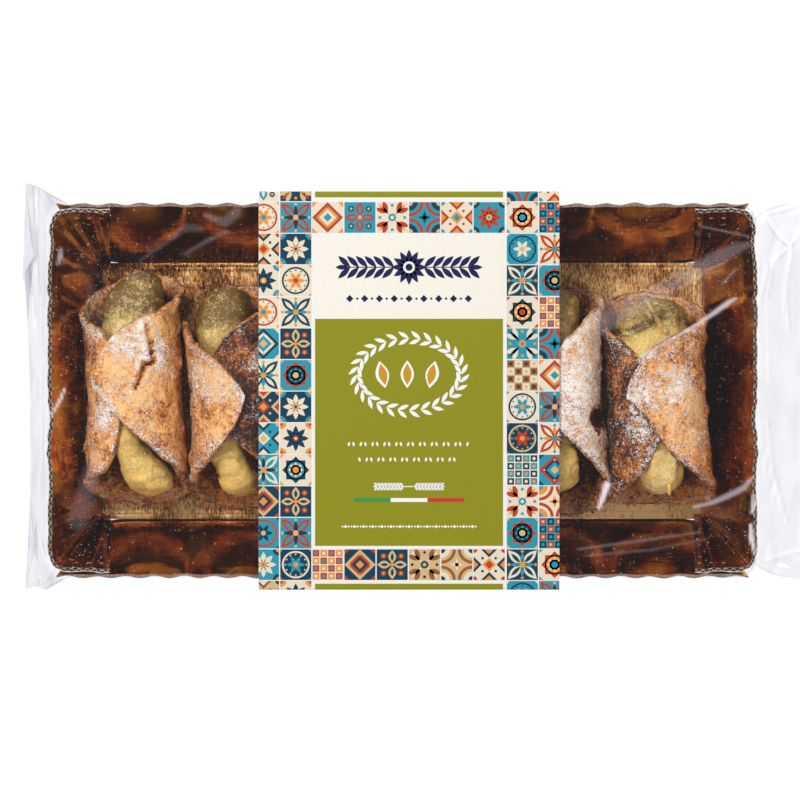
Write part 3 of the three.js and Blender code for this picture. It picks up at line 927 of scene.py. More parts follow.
@dataclass
class PastryShell:
    """A roll's shell: one sheet wrapped round, with its two flaps overlapping on top."""

    roll: Roll
    lid: Lid
    wall: float = 2.4
    top: float = 38.5  # highest point of the upper flap
    tear: float = 0.8
    floor_gap: float = 0.1
    flap_gap: float = 0.2
    film_gap: float = 0.45
    relief: tuple[Pair, ...] = ((0.6, 13.0), (0.36, 5.0), (0.22, 2.1))  # height and width of its bumps
    blisters: Pair = (1.5, 4.2)
    crack_depth: float = 2.2
    dent_depth: float = 2.1
    seed: int = 1

    def _edge(self, angle: Array, cut: Triple, flap: Flap) -> Array:
        """Give a flap's half-length at angles round the roll.

        Args:
            angle: degrees round the roll.
            cut: the half-lengths below, at the side and on top.
            flap: the flap, for its tip.

        Returns:
            One half-length for each angle.
        """
        bottom, side, top = cut
        power = math.log2((bottom - top) / (bottom - side))
        length = bottom - (bottom - side) * (np.abs(angle) / 90.0) ** power
        past = np.clip((np.abs(angle) - flap.tip + flap.closing) / flap.closing, 0.0, 1.0)
        return np.maximum(length * np.sqrt(np.maximum(1.0 - past * past, 0.0)), 0.35)

    def _angles(self) -> Array:
        """Space the columns evenly round the roll, and closer together at both tips."""
        step = self.roll.step / math.radians(self.roll.half_width)
        sides = []
        for flap in (self.roll.under, self.roll.over):
            start = flap.tip - flap.closing
            even = np.linspace(0.0, start, max(2, round(start / step)), endpoint=False)
            turns = np.linspace(0.0, 0.5 * np.pi, max(4, round(flap.closing / step * 1.1)))
            sides.append(np.concatenate([even, start + flap.closing * np.sin(turns)]))
        return np.concatenate([-sides[0][::-1], sides[1][1:]])

    def _sheet(self) -> tuple[Array, Array, Array, int]:
        """Lay out the sheet's angle, distance along the roll and distance to its edge.

        Returns:
            The three values for each point, and how many points there are in a row.
        """
        angles, roll = self._angles(), self.roll
        noise = SmoothNoise(self.seed)
        torn = []
        for over, under, offset in (
            (roll.over.north, roll.under.north, 0.0), (roll.over.south, roll.under.south, 40.0)
        ):
            edge = np.where(angles > 0, self._edge(angles, over, roll.over), self._edge(angles, under, roll.under))
            along = rows(angles * 0.3, offset, 0.0)
            # Three layers of tears, each finer and weaker than the last.
            wander = sum(0.6**k * noise.at(along + 17.0 * k, 5.0 / 2**k) for k in range(3)) / (1.0 + 0.6 + 0.36)
            torn.append(np.maximum(edge + self.tear * 1.6 * wander * np.clip(edge / 6.0, 0.0, 1.0), 0.3))
        v = np.linspace(-1.0, 1.0, round(2 * roll.over.north[0] / roll.step) + 1)
        v = np.sin(0.5 * np.pi * v) * 0.35 + v * 0.65
        grid_v, grid_angle = np.repeat(v, len(angles)), np.tile(angles, len(v))
        reach = np.where(grid_v > 0, np.tile(torn[0], len(v)), np.tile(torn[1], len(v)))
        return grid_angle, grid_v * reach, (1.0 - np.abs(grid_v)) * reach, len(angles)

    def _crack(self, across: Array, along: Array, places: Array) -> Array:
        """Give the way to the crack, whose lips wander and nearly close in places."""
        wander = SmoothNoise(self.seed + 100).sum_at(places, (0.6, 1.5), (0.3, 4.5))
        return distance_to_line(rows(across, along), self.roll.crack) + wander

    def _dent(self, across: Array, along: Array, places: Array) -> Array:
        """Give the way from the dent's middle, 1 at its ragged edge.

        Args:
            across: places across the roll.
            along: places along it.
            places: the same places as points, for the noise of the edge.

        Returns:
            One number for each place.
        """
        dx, dy, half_x, half_y = self.roll.dent
        spread = np.sqrt(((across - dx) / half_x) ** 2 + ((along - dy) / half_y) ** 2)
        return spread + 0.36 * SmoothNoise(self.seed + 100).at(places, 2.2)

    def _surface(self, angle: Array, along: Array, to_edge: Array) -> tuple[Array, Array]:
        """Wrap the sheet round the roll and raise its blisters.

        Args:
            angle: degrees round the roll.
            along: distance from the roll's middle.
            to_edge: distance to the nearest mouth edge of the sheet.

        Returns:
            The outer points, and the unit vectors across the sheet.
        """
        roll = self.roll
        turn = np.radians(angle)
        half_height = 0.5 * (self.top - FLOOR_TOP - self.floor_gap - self.wall - self.flap_gap)
        centre = FLOOR_TOP + self.floor_gap + half_height
        width = roll.half_width * (1.0 - roll.waist * bell(along, 17.0))
        normal = unit(rows(np.sin(turn) / width, 0.0, -np.cos(turn) / half_height))
        base = rows(width * np.sin(turn), along, centre - half_height * np.cos(turn))
        lift = np.where(angle > 0, (self.wall + self.flap_gap) * ease(105.0, 160.0, angle), 0.0)
        noise = SmoothNoise(self.seed + 100)
        flare = 0.9 * ease(7.0, 0.0, to_edge) * np.sin(np.clip(turn, -np.pi, np.pi)) ** 2
        curl = 0.7 * ease(4.0, 0.0, to_edge) * noise.at(base, 9.0)
        here = base + (roll.x, roll.y, 0.0)
        height, size = self.blisters
        blisters = np.maximum(noise.at(here + 31.0, size) - 0.2, 0.0) * height
        relief = noise.sum_at(here, *self.relief)
        points = base + normal * (lift + flare + curl + relief + blisters)[:, None]
        on_top = angle > 90.0
        if roll.crack:
            gap = self._crack(points[:, 0] if roll.upper_from_right else -points[:, 0], along, here)
            opened = self.crack_depth * bell(gap, 0.5) - 0.4 * bell(gap - 1.8, 1.0)  # with raised lips
            points -= normal * (opened * on_top)[:, None]
        if roll.dent:
            pressed = self.dent_depth * ease(1.15, 0.85, self._dent(points[:, 0], along, here))
            points -= normal * (pressed * on_top)[:, None]
        return points, normal

    def _finish(self, angle: Array, along: Array, to_edge: Array, points: Array) -> tuple[Array, Array]:
        """Give how brown and how sugared each point of the outer side is, with painted shade in the crack, the dent and
        down the sides.

        Args:
            angle: degrees round the roll.
            along: distance from the roll's middle.
            to_edge: distance to the nearest mouth edge of the sheet.
            points: the outer points.

        Returns:
            How brown, and how sugared.
        """
        roll = self.roll
        noise = SmoothNoise(self.seed + 200)
        over = ease(-20.0, 20.0, angle)
        brown = mix(roll.under.brown, roll.over.brown, over)
        brown = brown + 0.22 * noise.at(points, 11.0) + 0.14 * noise.at(points, 4.0)
        # Browner at the cut edges; and browner down the sides and underneath, partly browning and partly painted shade.
        brown += 0.16 * ease(2.0, 0.0, to_edge) + 0.3 * ease(128.0, 88.0, np.abs(angle))
        brown += 0.22 * ease(9.0, 0.0, np.where(angle > 0, roll.over.tip - angle, 400.0))
        sugar = mix(roll.under.sugar, roll.over.sugar, over) + 0.22 * noise.at(points + 9.0, 8.0)
        sugar += 0.22 * ease(5.0, 0.8, to_edge)
        for turn, y, size, browner, sweeter in roll.patches:
            apart = np.radians(angle - turn) * roll.half_width
            share = np.exp(-(apart**2 + (along - y) ** 2) / size**2)
            brown += browner * share
            sugar += sweeter * share
        sugar *= ease(60.0, 115.0, np.abs(angle))
        across = points[:, 0] - roll.x
        if roll.crack:
            gap = self._crack(across, along, points)
            # Painted shade: the crack is painted dark and bare of sugar.
            dark = bell(gap, 0.55) * (np.abs(angle) > 90.0)
            brown += 0.7 * dark
            sugar += 0.3 * bell(gap - 2.2, 1.0) - 0.7 * dark
        if roll.dent:
            # Painted shade: the dent is painted dark and bare of sugar.
            dark = ease(1.2, 0.9, self._dent(across, along, points)) * (angle > 90.0)
            brown += 0.8 * dark
            sugar -= 1.6 * dark
        return brown, sugar

    def build(self, pastry: Material, spots: Spots) -> Thing:
        """Build the shell as one closed sheet with a rounded, torn edge.

        Args:
            pastry: the shell's material.
            spots: where the places for loose sugar are gathered.

        Returns:
            The shell.
        """
        angle, along, to_edge, columns = self._sheet()
        count = len(angle) // columns
        outer, normal = self._surface(angle, along, to_edge)
        thickness = self.wall * mix(0.9, 1.0, ease(0.0, 5.0, to_edge))
        noise = SmoothNoise(self.seed + 300)
        inner = outer - normal * (thickness + 0.25 * noise.at(outer, 4.0))[:, None]
        flip = self.roll.upper_from_right
        # A roll whose upper flap comes from the left is the mirror image of one from the right.
        turned = np.array([1.0 if flip else -1.0, 1.0, 1.0])
        place = np.array([self.roll.x, self.roll.y, 0.0])
        outer, inner, normal = outer * turned + place, inner * turned + place, normal * turned
        # It stays under the film, and then above the floor.
        push = np.maximum(outer[:, 2] - (self.lid.height(outer[:, 0], outer[:, 1]) - self.film_gap), 0.0)
        outer[:, 2] -= push
        inner[:, 2] -= push
        lift = np.maximum(FLOOR_TOP + 0.12 - outer[:, 2], 0.0)
        outer[:, 2] += lift
        inner[:, 2] += lift
        brown, sugar = self._finish(angle, along, to_edge, outer)

        border = np.array(grid_border(count, columns))
        row, column = np.divmod(border, columns)
        inside = np.clip(row, 1, count - 2) * columns + np.clip(column, 1, columns - 2)
        outward = unit(outer[border] - outer[inside])
        swell = np.minimum(0.4 * np.linalg.norm(outer[border] - inner[border], axis=1, keepdims=True), 0.85)
        cells = grid_faces(count, columns)
        mesh = MeshData()
        rings = [mesh.add(outer, cells[:, ::-1] if flip else cells) + border]
        last = mesh.add(inner, cells if flip else cells[:, ::-1]) + border
        for share, part in ((0.12, 0.25), (0.72, 1.0)):
            ring = mix(outer[border], inner[border], share) + outward * swell * part
            rings.append(mesh.add(ring) + np.arange(len(border)))
        for one, two in zip(rings, [*rings[1:], last]):
            mesh.link(face if flip else face[::-1] for face in ring_faces(one, two))
        edge_brown = np.minimum(brown[border], 0.5) + 0.08 + 0.35 * noise.at(outer[border], 1.6)
        # Painted shade: inside, the shell is painted darker deeper in from the mouth.
        inner_brown_and_shade = mix(0.36, 0.92, ease(0.0, 11.0, to_edge)) + 0.16 * noise.at(inner, 5.0)
        inner_sugar = mix(0.46, -0.25, ease(0.0, 8.0, to_edge)) + 0.2 * noise.at(inner, 4.0)
        values = {
            "brown": np.concatenate([brown, inner_brown_and_shade, edge_brown, edge_brown]),
            "sugar": np.concatenate([sugar, inner_sugar, sugar[border] * 0.8, sugar[border] * 0.3 + 0.15]),
        }
        mesh.points = [self.roll.leaned(points) for points in mesh.points]
        facing = np.clip(normal[:, 2], 0.0, 1.0) * (np.abs(angle) > 95.0)
        facing[(angle < 0) & (np.abs(angle) > 150.0)] = 0.0  # it lies under the upper flap
        spots.append((self.roll.leaned(outer), normal, facing * np.clip(sugar, 0.0, 1.0) ** 1.5))
        return mesh.build(f"{self.roll.name}_shell", "fried_pastry", [pastry], values)


@dataclass
class CreamFilling:
    """The piped cream inside one roll, with a swelling at both open ends."""

    roll: Roll
    lid: Lid
    around: int = 56
    steps: int = 9
    film_gap: float = 0.7
    floor_gap: float = 3.0
    squareness: float = 0.78  # 1 is an ellipse; it was pressed into the shell
    relief: tuple[Pair, ...] = ((0.8, 8.0), (0.6, 3.6), (0.3, 1.7))  # height and width of its bumps
    ridge_height: float = 0.45
    furrow_depth: float = 2.5
    seed: int = 40

    def _furrow(self, strand: Strand, points: Array, normal: Array) -> Array:
        """Give how deep in the strand's furrow each point lies, from 0 to 1.

        Args:
            strand: the run of cream.
            points: its points.
            normal: the unit vectors away from it.

        Returns:
            A share for each point.
        """
        if not strand.furrow:
            return np.zeros(len(points))
        gap = distance_to_line(points[:, :2] - (self.roll.x, self.roll.y), strand.furrow)
        return bell(gap + 0.3 * SmoothNoise(self.seed).at(points, 2.4), 1.0) * (normal[:, 2] > 0.0)

    def build(self, cream: Material, spots: Spots) -> Thing:
        """Build the strands of cream of this roll as one piece.

        Args:
            cream: the material.
            spots: where the places for loose sugar are gathered.

        Returns:
            The filling.
        """
        mesh, noise = MeshData(), SmoothNoise(self.seed)
        shades, sugars = [], []
        for strand in self.roll.cream:
            run = through_points(np.array(strand.stations), self.steps)
            turn = np.linspace(0.0, 2.0 * np.pi, self.around, endpoint=False)
            y, middle_x, middle_z, radius_x, radius_z = np.repeat(run, self.around, axis=0).T
            radius_x, radius_z = np.maximum(radius_x, 0.3), np.maximum(radius_z, 0.3)
            across, upward = (
                np.tile(np.sign(v) * np.abs(v) ** self.squareness, len(run)) for v in (np.cos(turn), np.sin(turn))
            )
            points = rows(
                middle_x + radius_x * across + self.roll.x, y + self.roll.y, middle_z + radius_z * upward
            )
            normal = unit(rows(across / radius_x, 0.0, upward / radius_z))
            # Narrow folds, where one turn of the piping lies on the next; they are also painted darker, as shade.
            folded = bell(noise.at(points * (0.6, 1.0, 0.6), 7.0), 0.09)
            relief = noise.sum_at(points, *self.relief) - 0.5 * folded
            if strand.ridges:
                relief += self.ridge_height * np.cos(np.tile(turn, len(run)) * strand.ridges + 0.16 * y)
            points += normal * (relief * np.clip(radius_x / 6.0, 0.15, 1.0))[:, None]
            limit = self.lid.height(points[:, 0], points[:, 1]) - self.film_gap
            points[:, 2] = np.clip(points[:, 2], FLOOR_TOP + self.floor_gap, limit)
            points[:, 2] -= self.furrow_depth * self._furrow(strand, points, normal)
            start = mesh.add(points, grid_faces(len(run), self.around, closed=True))
            last = start + (len(run) - 1) * self.around
            mesh.link([range(start + self.around - 1, start - 1, -1), range(last, last + self.around)])
            upper = ease(-8.0, 8.0, y)
            # Painted shade: out at the mouth the cream is painted deeper in colour and less sugared than near the
            # flaps.
            painted_shade_outward = ease(19.0, 29.0, y)
            # Painted shade: the upper mouth's cream, its folds and its furrow are painted darker.
            shade = mix(strand.shade[0], strand.shade[1] + mix(-0.32, 0.14, painted_shade_outward), upper) + 0.2 * folded
            shades.append(shade + 1.5 * self._furrow(strand, points, normal))
            sugar = mix(strand.sugar[0], strand.sugar[1] + 0.2 * (1.0 - painted_shade_outward), upper) * np.clip(normal[:, 2], 0.0, 1.0)
            sugar += 0.12 * noise.at(points + 5.0, 6.0)
            sugars.append(sugar)
            visible = (np.abs(y) > 13.0) & (normal[:, 2] > 0.5)
            spots.append((points, normal, np.where(visible, np.clip(sugar, 0.0, 1.0) ** 1.5, 0.0)))
        values = {"shade": np.concatenate(shades), "sugar": np.concatenate(sugars)}
        return mesh.build(f"{self.roll.name}_cream", "pistachio_cream", [cream], values)


@dataclass
class LooseGrains:
    """Loose grains or crumbs, each a small eight-sided crystal that lies on a surface."""

    name: str
    count: int
    smallest: float
    largest: float
    slot: str
    seed: int
    raised: float = 0.3  # how far its middle lies off the surface, as a share of its half-size
    scatter: float = 0.35
    stretch: Pair = (0.65, 1.25)

    def build(self, spots: Spots, material: Material) -> Thing:
        """Scatter the grains over the places given.

        Args:
            spots: where grains may lie.
            material: the grains' material.

        Returns:
            All the grains as one piece.
        """
        rng = np.random.default_rng(self.seed)
        points, normals, weights = (np.concatenate(parts) for parts in zip(*spots))
        chosen = rng.choice(len(points), size=self.count, p=weights / weights.sum())
        half = 0.5 * (self.smallest + (self.largest - self.smallest) * rng.random(self.count) ** 2.2)
        centres = points[chosen] + normals[chosen] * (self.raised * half)[:, None]
        centres[:, :2] += rng.uniform(-self.scatter, self.scatter, (self.count, 2))
        first, second, _ = np.moveaxis(rng.normal(size=(self.count, 3, 3)), 1, 0)
        first = unit(first)
        second = unit(second - (second * first).sum(axis=1, keepdims=True) * first)
        axes = np.stack([first, second, np.cross(first, second)], axis=1)
        axes *= (rng.uniform(*self.stretch, (self.count, 3)) * half[:, None])[:, :, None]
        tips = centres[:, None, None] + axes[:, :, None] * np.array([[1.0], [-1.0]])
        # The six tips are numbered in pairs, so each face takes one tip of every pair.
        facets = np.array([[0, 2, 4], [2, 1, 4], [1, 3, 4], [3, 0, 4], [2, 0, 5], [1, 2, 5], [3, 1, 5], [0, 3, 5]])
        mesh = MeshData()
        mesh.add(tips.reshape(-1, 3), (facets + 6 * np.arange(self.count)[:, None, None]).reshape(-1, 3))
        return mesh.build(self.name, self.slot, [material], smooth=False)


# ---- The tray ----

Lines = Sequence[Array]  # a sheet's plan line at the floor and at the rim


@dataclass
class FoilTray:
    """The tapered tray of fluted board, gold foil inside, its four walls folded up from the floor.

    The short walls wrap round the corners and end in laps inside the long walls. Their cut edge
    shows two papers with the wave of the fluting between. The long walls' edge is cut wavy.
    """

    finishes: Finishes
    rim_half: Pair = (119.8, 63.3)
    floor_half: Pair = (106.5, 46.1)
    height: float = 35.6
    base_z: float = 1.0
    paper: float = 0.2
    flute_pitch: float = 2.6
    wave_count: int = 23
    wave_depth: float = 0.8
    lap_end: Pair = (102.7, 99.0)  # where the laps end, at the floor and at the rim
    corner: Pair = (2.8, 6.6)  # radius at the floor and at the rim
    overlap: float = 2.0  # how far the laps lie inside the outline
    floor_inset: Pair = (1.2, 1.1)  # how far the floor stops short of the folds, along and across
    long_inset: Pair = (2.4, 2.6)  # how far the long walls stop short of the ends, at floor and rim
    flute_half: float = 0.09  # half the thickness of the fluting's paper
    fan_pitch: float = 31.0  # degrees between the folds that fan round a corner
    crimp: Triple = (0.85, 0.16, 0.34)  # a pressed dash: half-length, half-width and height
    crimp_start: Pair = (110.6, 0.93)  # the outermost dash: its x, and its share of the wall's height
    crimp_pitch: Pair = (4.2, 0.105)
    crimp_tilt: float = 0.12
    steps_per_mm: float = 1.1
    dust: Spots = field(default_factory=list)  # places on the walls where sugar may cling

    def _piece(self, name: str, mesh: MeshData, *finishes: Material) -> Thing:
        """Make one folded piece of the tray."""
        return mesh.build(name, "foil_board", finishes, sharp_angle=50.0)

    def _z(self, share: Array | float) -> Array:
        """Give the height at a share of the wall, from 0 at the floor to 1 at the rim."""
        return self.base_z + self.height * np.asarray(share)

    def floor(self) -> Thing:
        """Build the floor, with two pressed lines along each fold."""
        half_x, half_y = (half - inset for half, inset in zip(self.floor_half, self.floor_inset))
        near_edge = np.array([0.0, 0.4, 0.8, 1.2, 1.6, 2.0, 2.4, 2.8, 3.4, 4.2])
        xs, ys = (
            np.concatenate([-half + near_edge, np.linspace(-half + 5.2, half - 5.2, count), half - near_edge[::-1]])
            for half, count in ((half_x, 150), (half_y, 62))
        )
        x, y = np.tile(xs, len(ys)), np.repeat(ys, len(xs))
        inset = np.minimum(half_x - np.abs(x), half_y - np.abs(y))
        noise, flat = SmoothNoise(7), rows(x, y, 0.0)
        crease = 0.1 * bell(inset - 0.8, 0.35) + 0.08 * bell(inset - 2.2, 0.4)
        waves = 0.22 * noise.at(flat, 22.0) + 0.08 * noise.at(flat * (1.0, 0.35, 1.0), 4.0)
        top = rows(x, y, FLOOR_TOP + crease + (waves - 0.05) * ease(0.0, 6.0, inset))
        mesh = MeshData()
        mesh.slab(top, rows(x, y, self.base_z), len(xs), flip=False, slots=(0, 1, 1, 1))
        return self._piece("tray_floor", mesh, self.finishes.floor_foil, self.finishes.kraft)

    def _long_profile(self, x: Array, share: Array, depth: float = 1.0) -> Array:
        """Give how far out a long wall lies, with the waves that grow to its edge.

        Args:
            x: places along the tray.
            share: heights as shares of the wall.
            depth: how much of the waves it shows.

        Returns:
            One distance for each place.
        """
        plain = mix(self.floor_half[1], self.rim_half[1], share)
        span = 2.0 * (self.rim_half[0] - self.corner[1])
        phase = (x + 0.5 * span) / (span / self.wave_count)
        wave = depth * self.wave_depth * 0.5 * (1.0 - np.cos(2.0 * np.pi * phase))
        return plain - 0.5 + wave * ease(0.5, 1.0, share)

    def long_wall(self, north: bool) -> Thing:
        """Build the long wall on the +Y or the -Y side, a slab whose ends run out to points.

        Args:
            north: whether it is the one on the +Y side.

        Returns:
            The wall.
        """
        count, columns = 22, 420
        along = np.tile(np.linspace(-1.0, 1.0, columns), count)
        share = np.repeat(np.linspace(0.0, 1.0, count), columns)
        at_floor, at_rim = self.long_inset
        x = mix(self.floor_half[0] - at_floor, self.rim_half[0] - at_rim, share) * along
        z = self._z(share)
        noise, flat = SmoothNoise(11 if north else 12), rows(x, 0.0, z)
        crushed = 0.25 * noise.at(flat + 40.0, 6.0) * ease(0.8, 1.0, share)
        thin = 1.0 - 0.75 * ease(0.93, 1.0, np.abs(along))
        dents = np.minimum(0.55 * noise.at(flat, 27.0) + 0.14 * noise.at(flat, 8.0) - 0.35, 0.4)
        dents *= ease(0.0, 0.2, share)
        dents *= ease(1.0, 0.85, share)
        sign = 1.0 if north else -1.0
        z += 0.28 * noise.at(flat, 1.6) * ease(0.96, 1.0, share)
        outer = rows(x, sign * (self._long_profile(x, share) + crushed), z)
        inner = rows(x, sign * (self._long_profile(x, share, 0.3) + crushed - 0.7 * thin + dents), z + 0.12)
        away = np.tile([0.0, -0.9 * sign, 0.43], (len(inner), 1))
        self.dust.append((inner, away, 0.25 + np.clip(noise.at(flat, 14.0), 0, 1)))
        mesh = MeshData()
        mesh.slab(outer, inner, columns, flip=north, slots=(1, 0, 1, 1))
        name = f"tray_wall_{'north' if north else 'south'}"
        return self._piece(name, mesh, self.finishes.foil, self.finishes.kraft)

    def _end_path(self, inset: float, rim: bool, steps: Sequence[float]) -> Array:
        """Trace an end wall in plan from its north lap round to its south lap, on the -X side.

        Args:
            inset: how far inside the outer face the line runs.
            rim: whether the line is at the rim or at the floor.
            steps: shares from 0 to 1 along the north half of the path.

        Returns:
            Rows of x and y.
        """
        half_x, half_y = self.rim_half if rim else self.floor_half
        half_y -= self.overlap
        radius, lap = self.corner[rim], self.lap_end[rim]
        corner_x, corner_y = half_x - radius, half_y - radius
        north = []
        for step in steps:
            if step < 0.25:
                north.append((-mix(lap, corner_x, step / 0.25), half_y - inset))
            elif step < 0.5:
                turn, arc = 0.5 * math.pi * (step - 0.25) / 0.25, radius - inset
                north.append((-corner_x - arc * math.sin(turn), corner_y + arc * math.cos(turn)))
            else:
                y = corner_y * (1.0 - (step - 0.5) / 0.5)
                bulge = 0.5 * (1.0 - (y / corner_y) ** 2) if rim else 0.0
                north.append((-half_x - bulge + inset, y))
        path = np.vstack([north, (np.array(north) * (1.0, -1.0))[-2::-1]])
        if rim:
            # The cut edge of the short wall is crushed and wanders in and out.
            away = path / (half_x, half_y)
            away = unit(np.sign(away) * np.abs(away) ** 8)
            wander = SmoothNoise(31).sum_at(rows(path[:, 0], path[:, 1], 0.0), (0.45, 9.0), (0.4, 2.9))
            path = path + away * wander[:, None]
        return path

    def _path_steps(self, per_mm: float) -> list[float]:
        """Space the steps of half an end wall's path evenly in millimetres.

        Args:
            per_mm: how many steps there are in a millimetre.

        Returns:
            Shares from 0 to 1 along the path.
        """
        radius = self.corner[1]
        lap = self.rim_half[0] - radius - self.lap_end[1]
        straight = self.rim_half[1] - self.overlap - radius
        steps: list[float] = []
        for low, high, length in ((0.0, 0.25, lap), (0.25, 0.5, 0.5 * math.pi * radius), (0.5, 1.0, straight)):
            steps += list(np.linspace(low, high, max(3, round(length * per_mm)), endpoint=False))
        return steps + [1.0]

    def _dents(self, points: Array, share: Array, noise: SmoothNoise) -> Array:
        """Give how far an end wall is pushed in: by dents, and by the folds fanned in its corners.

        Args:
            points: the wall's points.
            share: their heights as shares of the wall.
            noise: the noise of the dents.

        Returns:
            One distance for each point.
        """
        centre_x, centre_y = self.floor_half[0] - self.corner[0], self.floor_half[1] - self.overlap - self.corner[0]
        bearing = np.degrees(np.arctan2(np.abs(points[:, 1]) - centre_y, np.abs(points[:, 0]) - centre_x))
        fan = np.abs((bearing / self.fan_pitch + 0.3) % 1.0 - 0.5) * 4.0 - 1.0
        fan *= ease(-20.0, 0.0, bearing) * ease(122.0, 100.0, bearing) * ease(0.05, 0.5, share)
        inward = np.maximum(0.75 + noise.sum_at(points, (0.5, 26.0), (0.14, 8.0)) + 0.16 * fan, 0.05)
        return inward * ease(0.0, 0.12, share) * ease(1.0, 0.86, share)

    def _sheet(
        self, mesh: MeshData, lines: Lines, backs: Lines, shares: Sequence[float], slots: Sequence[int],
        dented: SmoothNoise | None = None,
    ) -> None:
        """Add a thin upright sheet between two plan lines at the floor and two at the rim.

        Args:
            mesh: the mesh that gets the sheet.
            lines: the front face's plan lines.
            backs: the back face's plan lines.
            shares: the rows' heights as shares of the wall.
            slots: material slots of the front, the back, the edge and the upper edge.
            dented: the noise of the front face's dents, if it has any.
        """
        columns = len(lines[0])
        share = np.repeat(shares, columns)
        front, back = (
            np.column_stack([mix(low, high, np.array(shares)[:, None, None]).reshape(-1, 2), self._z(share)])
            for low, high in (lines, backs)
        )
        if dented:
            run = np.gradient(front.reshape(len(shares), columns, 3), axis=1).reshape(-1, 3)
            front[:, :2] -= unit(rows(run[:, 1], -run[:, 0])) * self._dents(front, share, dented)[:, None]
        mesh.slab(front, back, columns, flip=True, slots=slots)

    def _fluting(self, mesh: MeshData) -> None:
        """Add the wavy paper between the two faces of an end wall.

        Args:
            mesh: the end wall's mesh.
        """
        steps = self._path_steps(self.steps_per_mm * 2.4)
        floor, rim = (self._end_path(0.5 * TRAY_WALL, at_rim, steps) for at_rim in (False, True))
        run = np.gradient(rim, axis=0)
        side = unit(rows(run[:, 1], -run[:, 0]))
        length = np.concatenate([[0.0], np.cumsum(np.linalg.norm(np.diff(rim, axis=0), axis=1))])
        wave = np.sin(2.0 * np.pi * length / self.flute_pitch) * (0.5 * TRAY_WALL - self.paper - 0.06)
        back, front = ((wave + half)[:, None] * side for half in (-self.flute_half, self.flute_half))
        self._sheet(mesh, (floor + back, rim + back), (floor + front, rim + front), (0.0, 0.6, 1.0), (3, 3, 3, 2))

    def end_wall(self, west: bool) -> Thing:
        """Build the end wall on the -X or the +X side: two papers and the fluting between them.

        Args:
            west: whether it is the one on the -X side.

        Returns:
            The wall.
        """
        steps = self._path_steps(self.steps_per_mm)
        shares = (*np.linspace(0.0, 0.94, 22), 0.97, 1.0)
        foil, lining, backing, outside = (
            [self._end_path(inset, rim, steps) for rim in (False, True)]
            for inset in (TRAY_WALL, TRAY_WALL - self.paper, self.paper, 0.0)
        )
        mesh = MeshData()
        self._sheet(mesh, foil, lining, shares, (0, 3, 3, 1), SmoothNoise(21 if west else 22))
        self._sheet(mesh, backing, outside, (0.0, 0.5, 1.0), (3, 1, 1, 2))
        self._fluting(mesh)
        points = np.vstack(mesh.points)
        if not west:
            points *= np.array([-1.0, 1.0, 1.0])
            mesh.faces = [face[::-1] for face in mesh.faces]
        mesh.points = [points]
        front = points[: len(shares) * len(foil[0])]
        inward = front * (-1.0, -1.0, 0.0)
        inward *= 0.9 / np.linalg.norm(inward, axis=1, keepdims=True)
        self.dust.append((front, inward + (0.0, 0.0, 0.43), np.full(len(front), 1.2)))
        stuff = self.finishes
        name = f"tray_end_{'west' if west else 'east'}"
        return self._piece(name, mesh, stuff.end_foil_in_shade, stuff.kraft, stuff.paper_edge, stuff.core)

    def crimps(self) -> Thing:
        """Build the short pressed dashes that hold the laps, two rows of three at each corner."""
        mesh, count = MeshData(), 14
        turn = np.linspace(0.0, 2.0 * np.pi, count, endpoint=False)[:, None]
        slope = unit(np.array([0.0, self.rim_half[1] - self.floor_half[1], self.height]))
        normal = np.array([0.0, -slope[2], slope[1]])
        rings = [[1 + level * count + i for i in range(count)] for level in range(3)]
        faces = [[0, 1 + i, 1 + (i + 1) % count] for i in range(count)]
        faces += [face[::-1] for pair in zip(rings, rings[1:]) for face in ring_faces(*pair)]
        faces.append(rings[-1][::-1])
        corners = ((-1, 1, 0.0), (-1, -1, 0.0), (1, 1, 1.5), (1, -1, 1.5))
        half_length, half_width, height = self.crimp
        (first_x, first_share), (pitch_x, pitch_share) = self.crimp_start, self.crimp_pitch
        for (sign_x, sign_y, shift), row, column in itertools.product(corners, range(2), range(3)):
            share = first_share - pitch_share * row
            x = sign_x * (first_x - pitch_x * column - shift + 0.6 * row)
            y = mix(self.floor_half[1], self.rim_half[1], share) - self.overlap - TRAY_WALL - 0.15
            centre = np.array([x, y, self._z(share)])
            tilt = self.crimp_tilt * sign_x
            long_way = np.array([1.0, 0.0, 0.0]) * math.cos(tilt) + slope * math.sin(tilt)
            outline = half_length * np.cos(turn) * long_way + half_width * np.sin(turn) * np.cross(normal, long_way)
            levels = ((0.5, 0.3), (0.85, 0.14), (1.0, -0.3))
            points = [centre + height * normal, *(centre + size * outline + lift * normal for size, lift in levels)]
            mirrored = faces if sign_y > 0 else [face[::-1] for face in faces]
            mesh.add(np.vstack(points) * (1.0, sign_y, 1.0), mirrored)
        return mesh.build("tray_crimps", "foil_board", [self.finishes.kraft])

    def build(self) -> list[Thing]:
        """Build the whole tray and give its pieces."""
        pieces = [self.floor()]
        for build in (self.long_wall, self.end_wall):
            pieces += [build(first) for first in (True, False)]
        return [*pieces, self.crimps()]


# ---- The film bag ----


@dataclass(frozen=True)
class Gleam:
    """A painted highlight on a fold or band of the film, or painted shade beside a fold: a line whose width changes
    along it.
    """

    share: float  # how strongly it is painted
    line: tuple[Triple, ...]  # x, y and half-width in millimetres

    def at(self, plan: Array) -> Array:
        """Give how strong the painted mark is at points seen from above.

        Args:
            plan: rows of x and y.

        Returns:
            One share for each point.
        """
        best = np.zeros(len(plan))
        for start, end, (along, away) in zip(self.line, self.line[1:], beside_line(plan, self.line)):
            half = np.maximum(mix(start[2], end[2], along), 0.25)
            soft = 0.35 + 0.3 * half
            best = np.maximum(best, ease(half + soft, np.maximum(half - soft, 0.0), away))
        return self.share * best


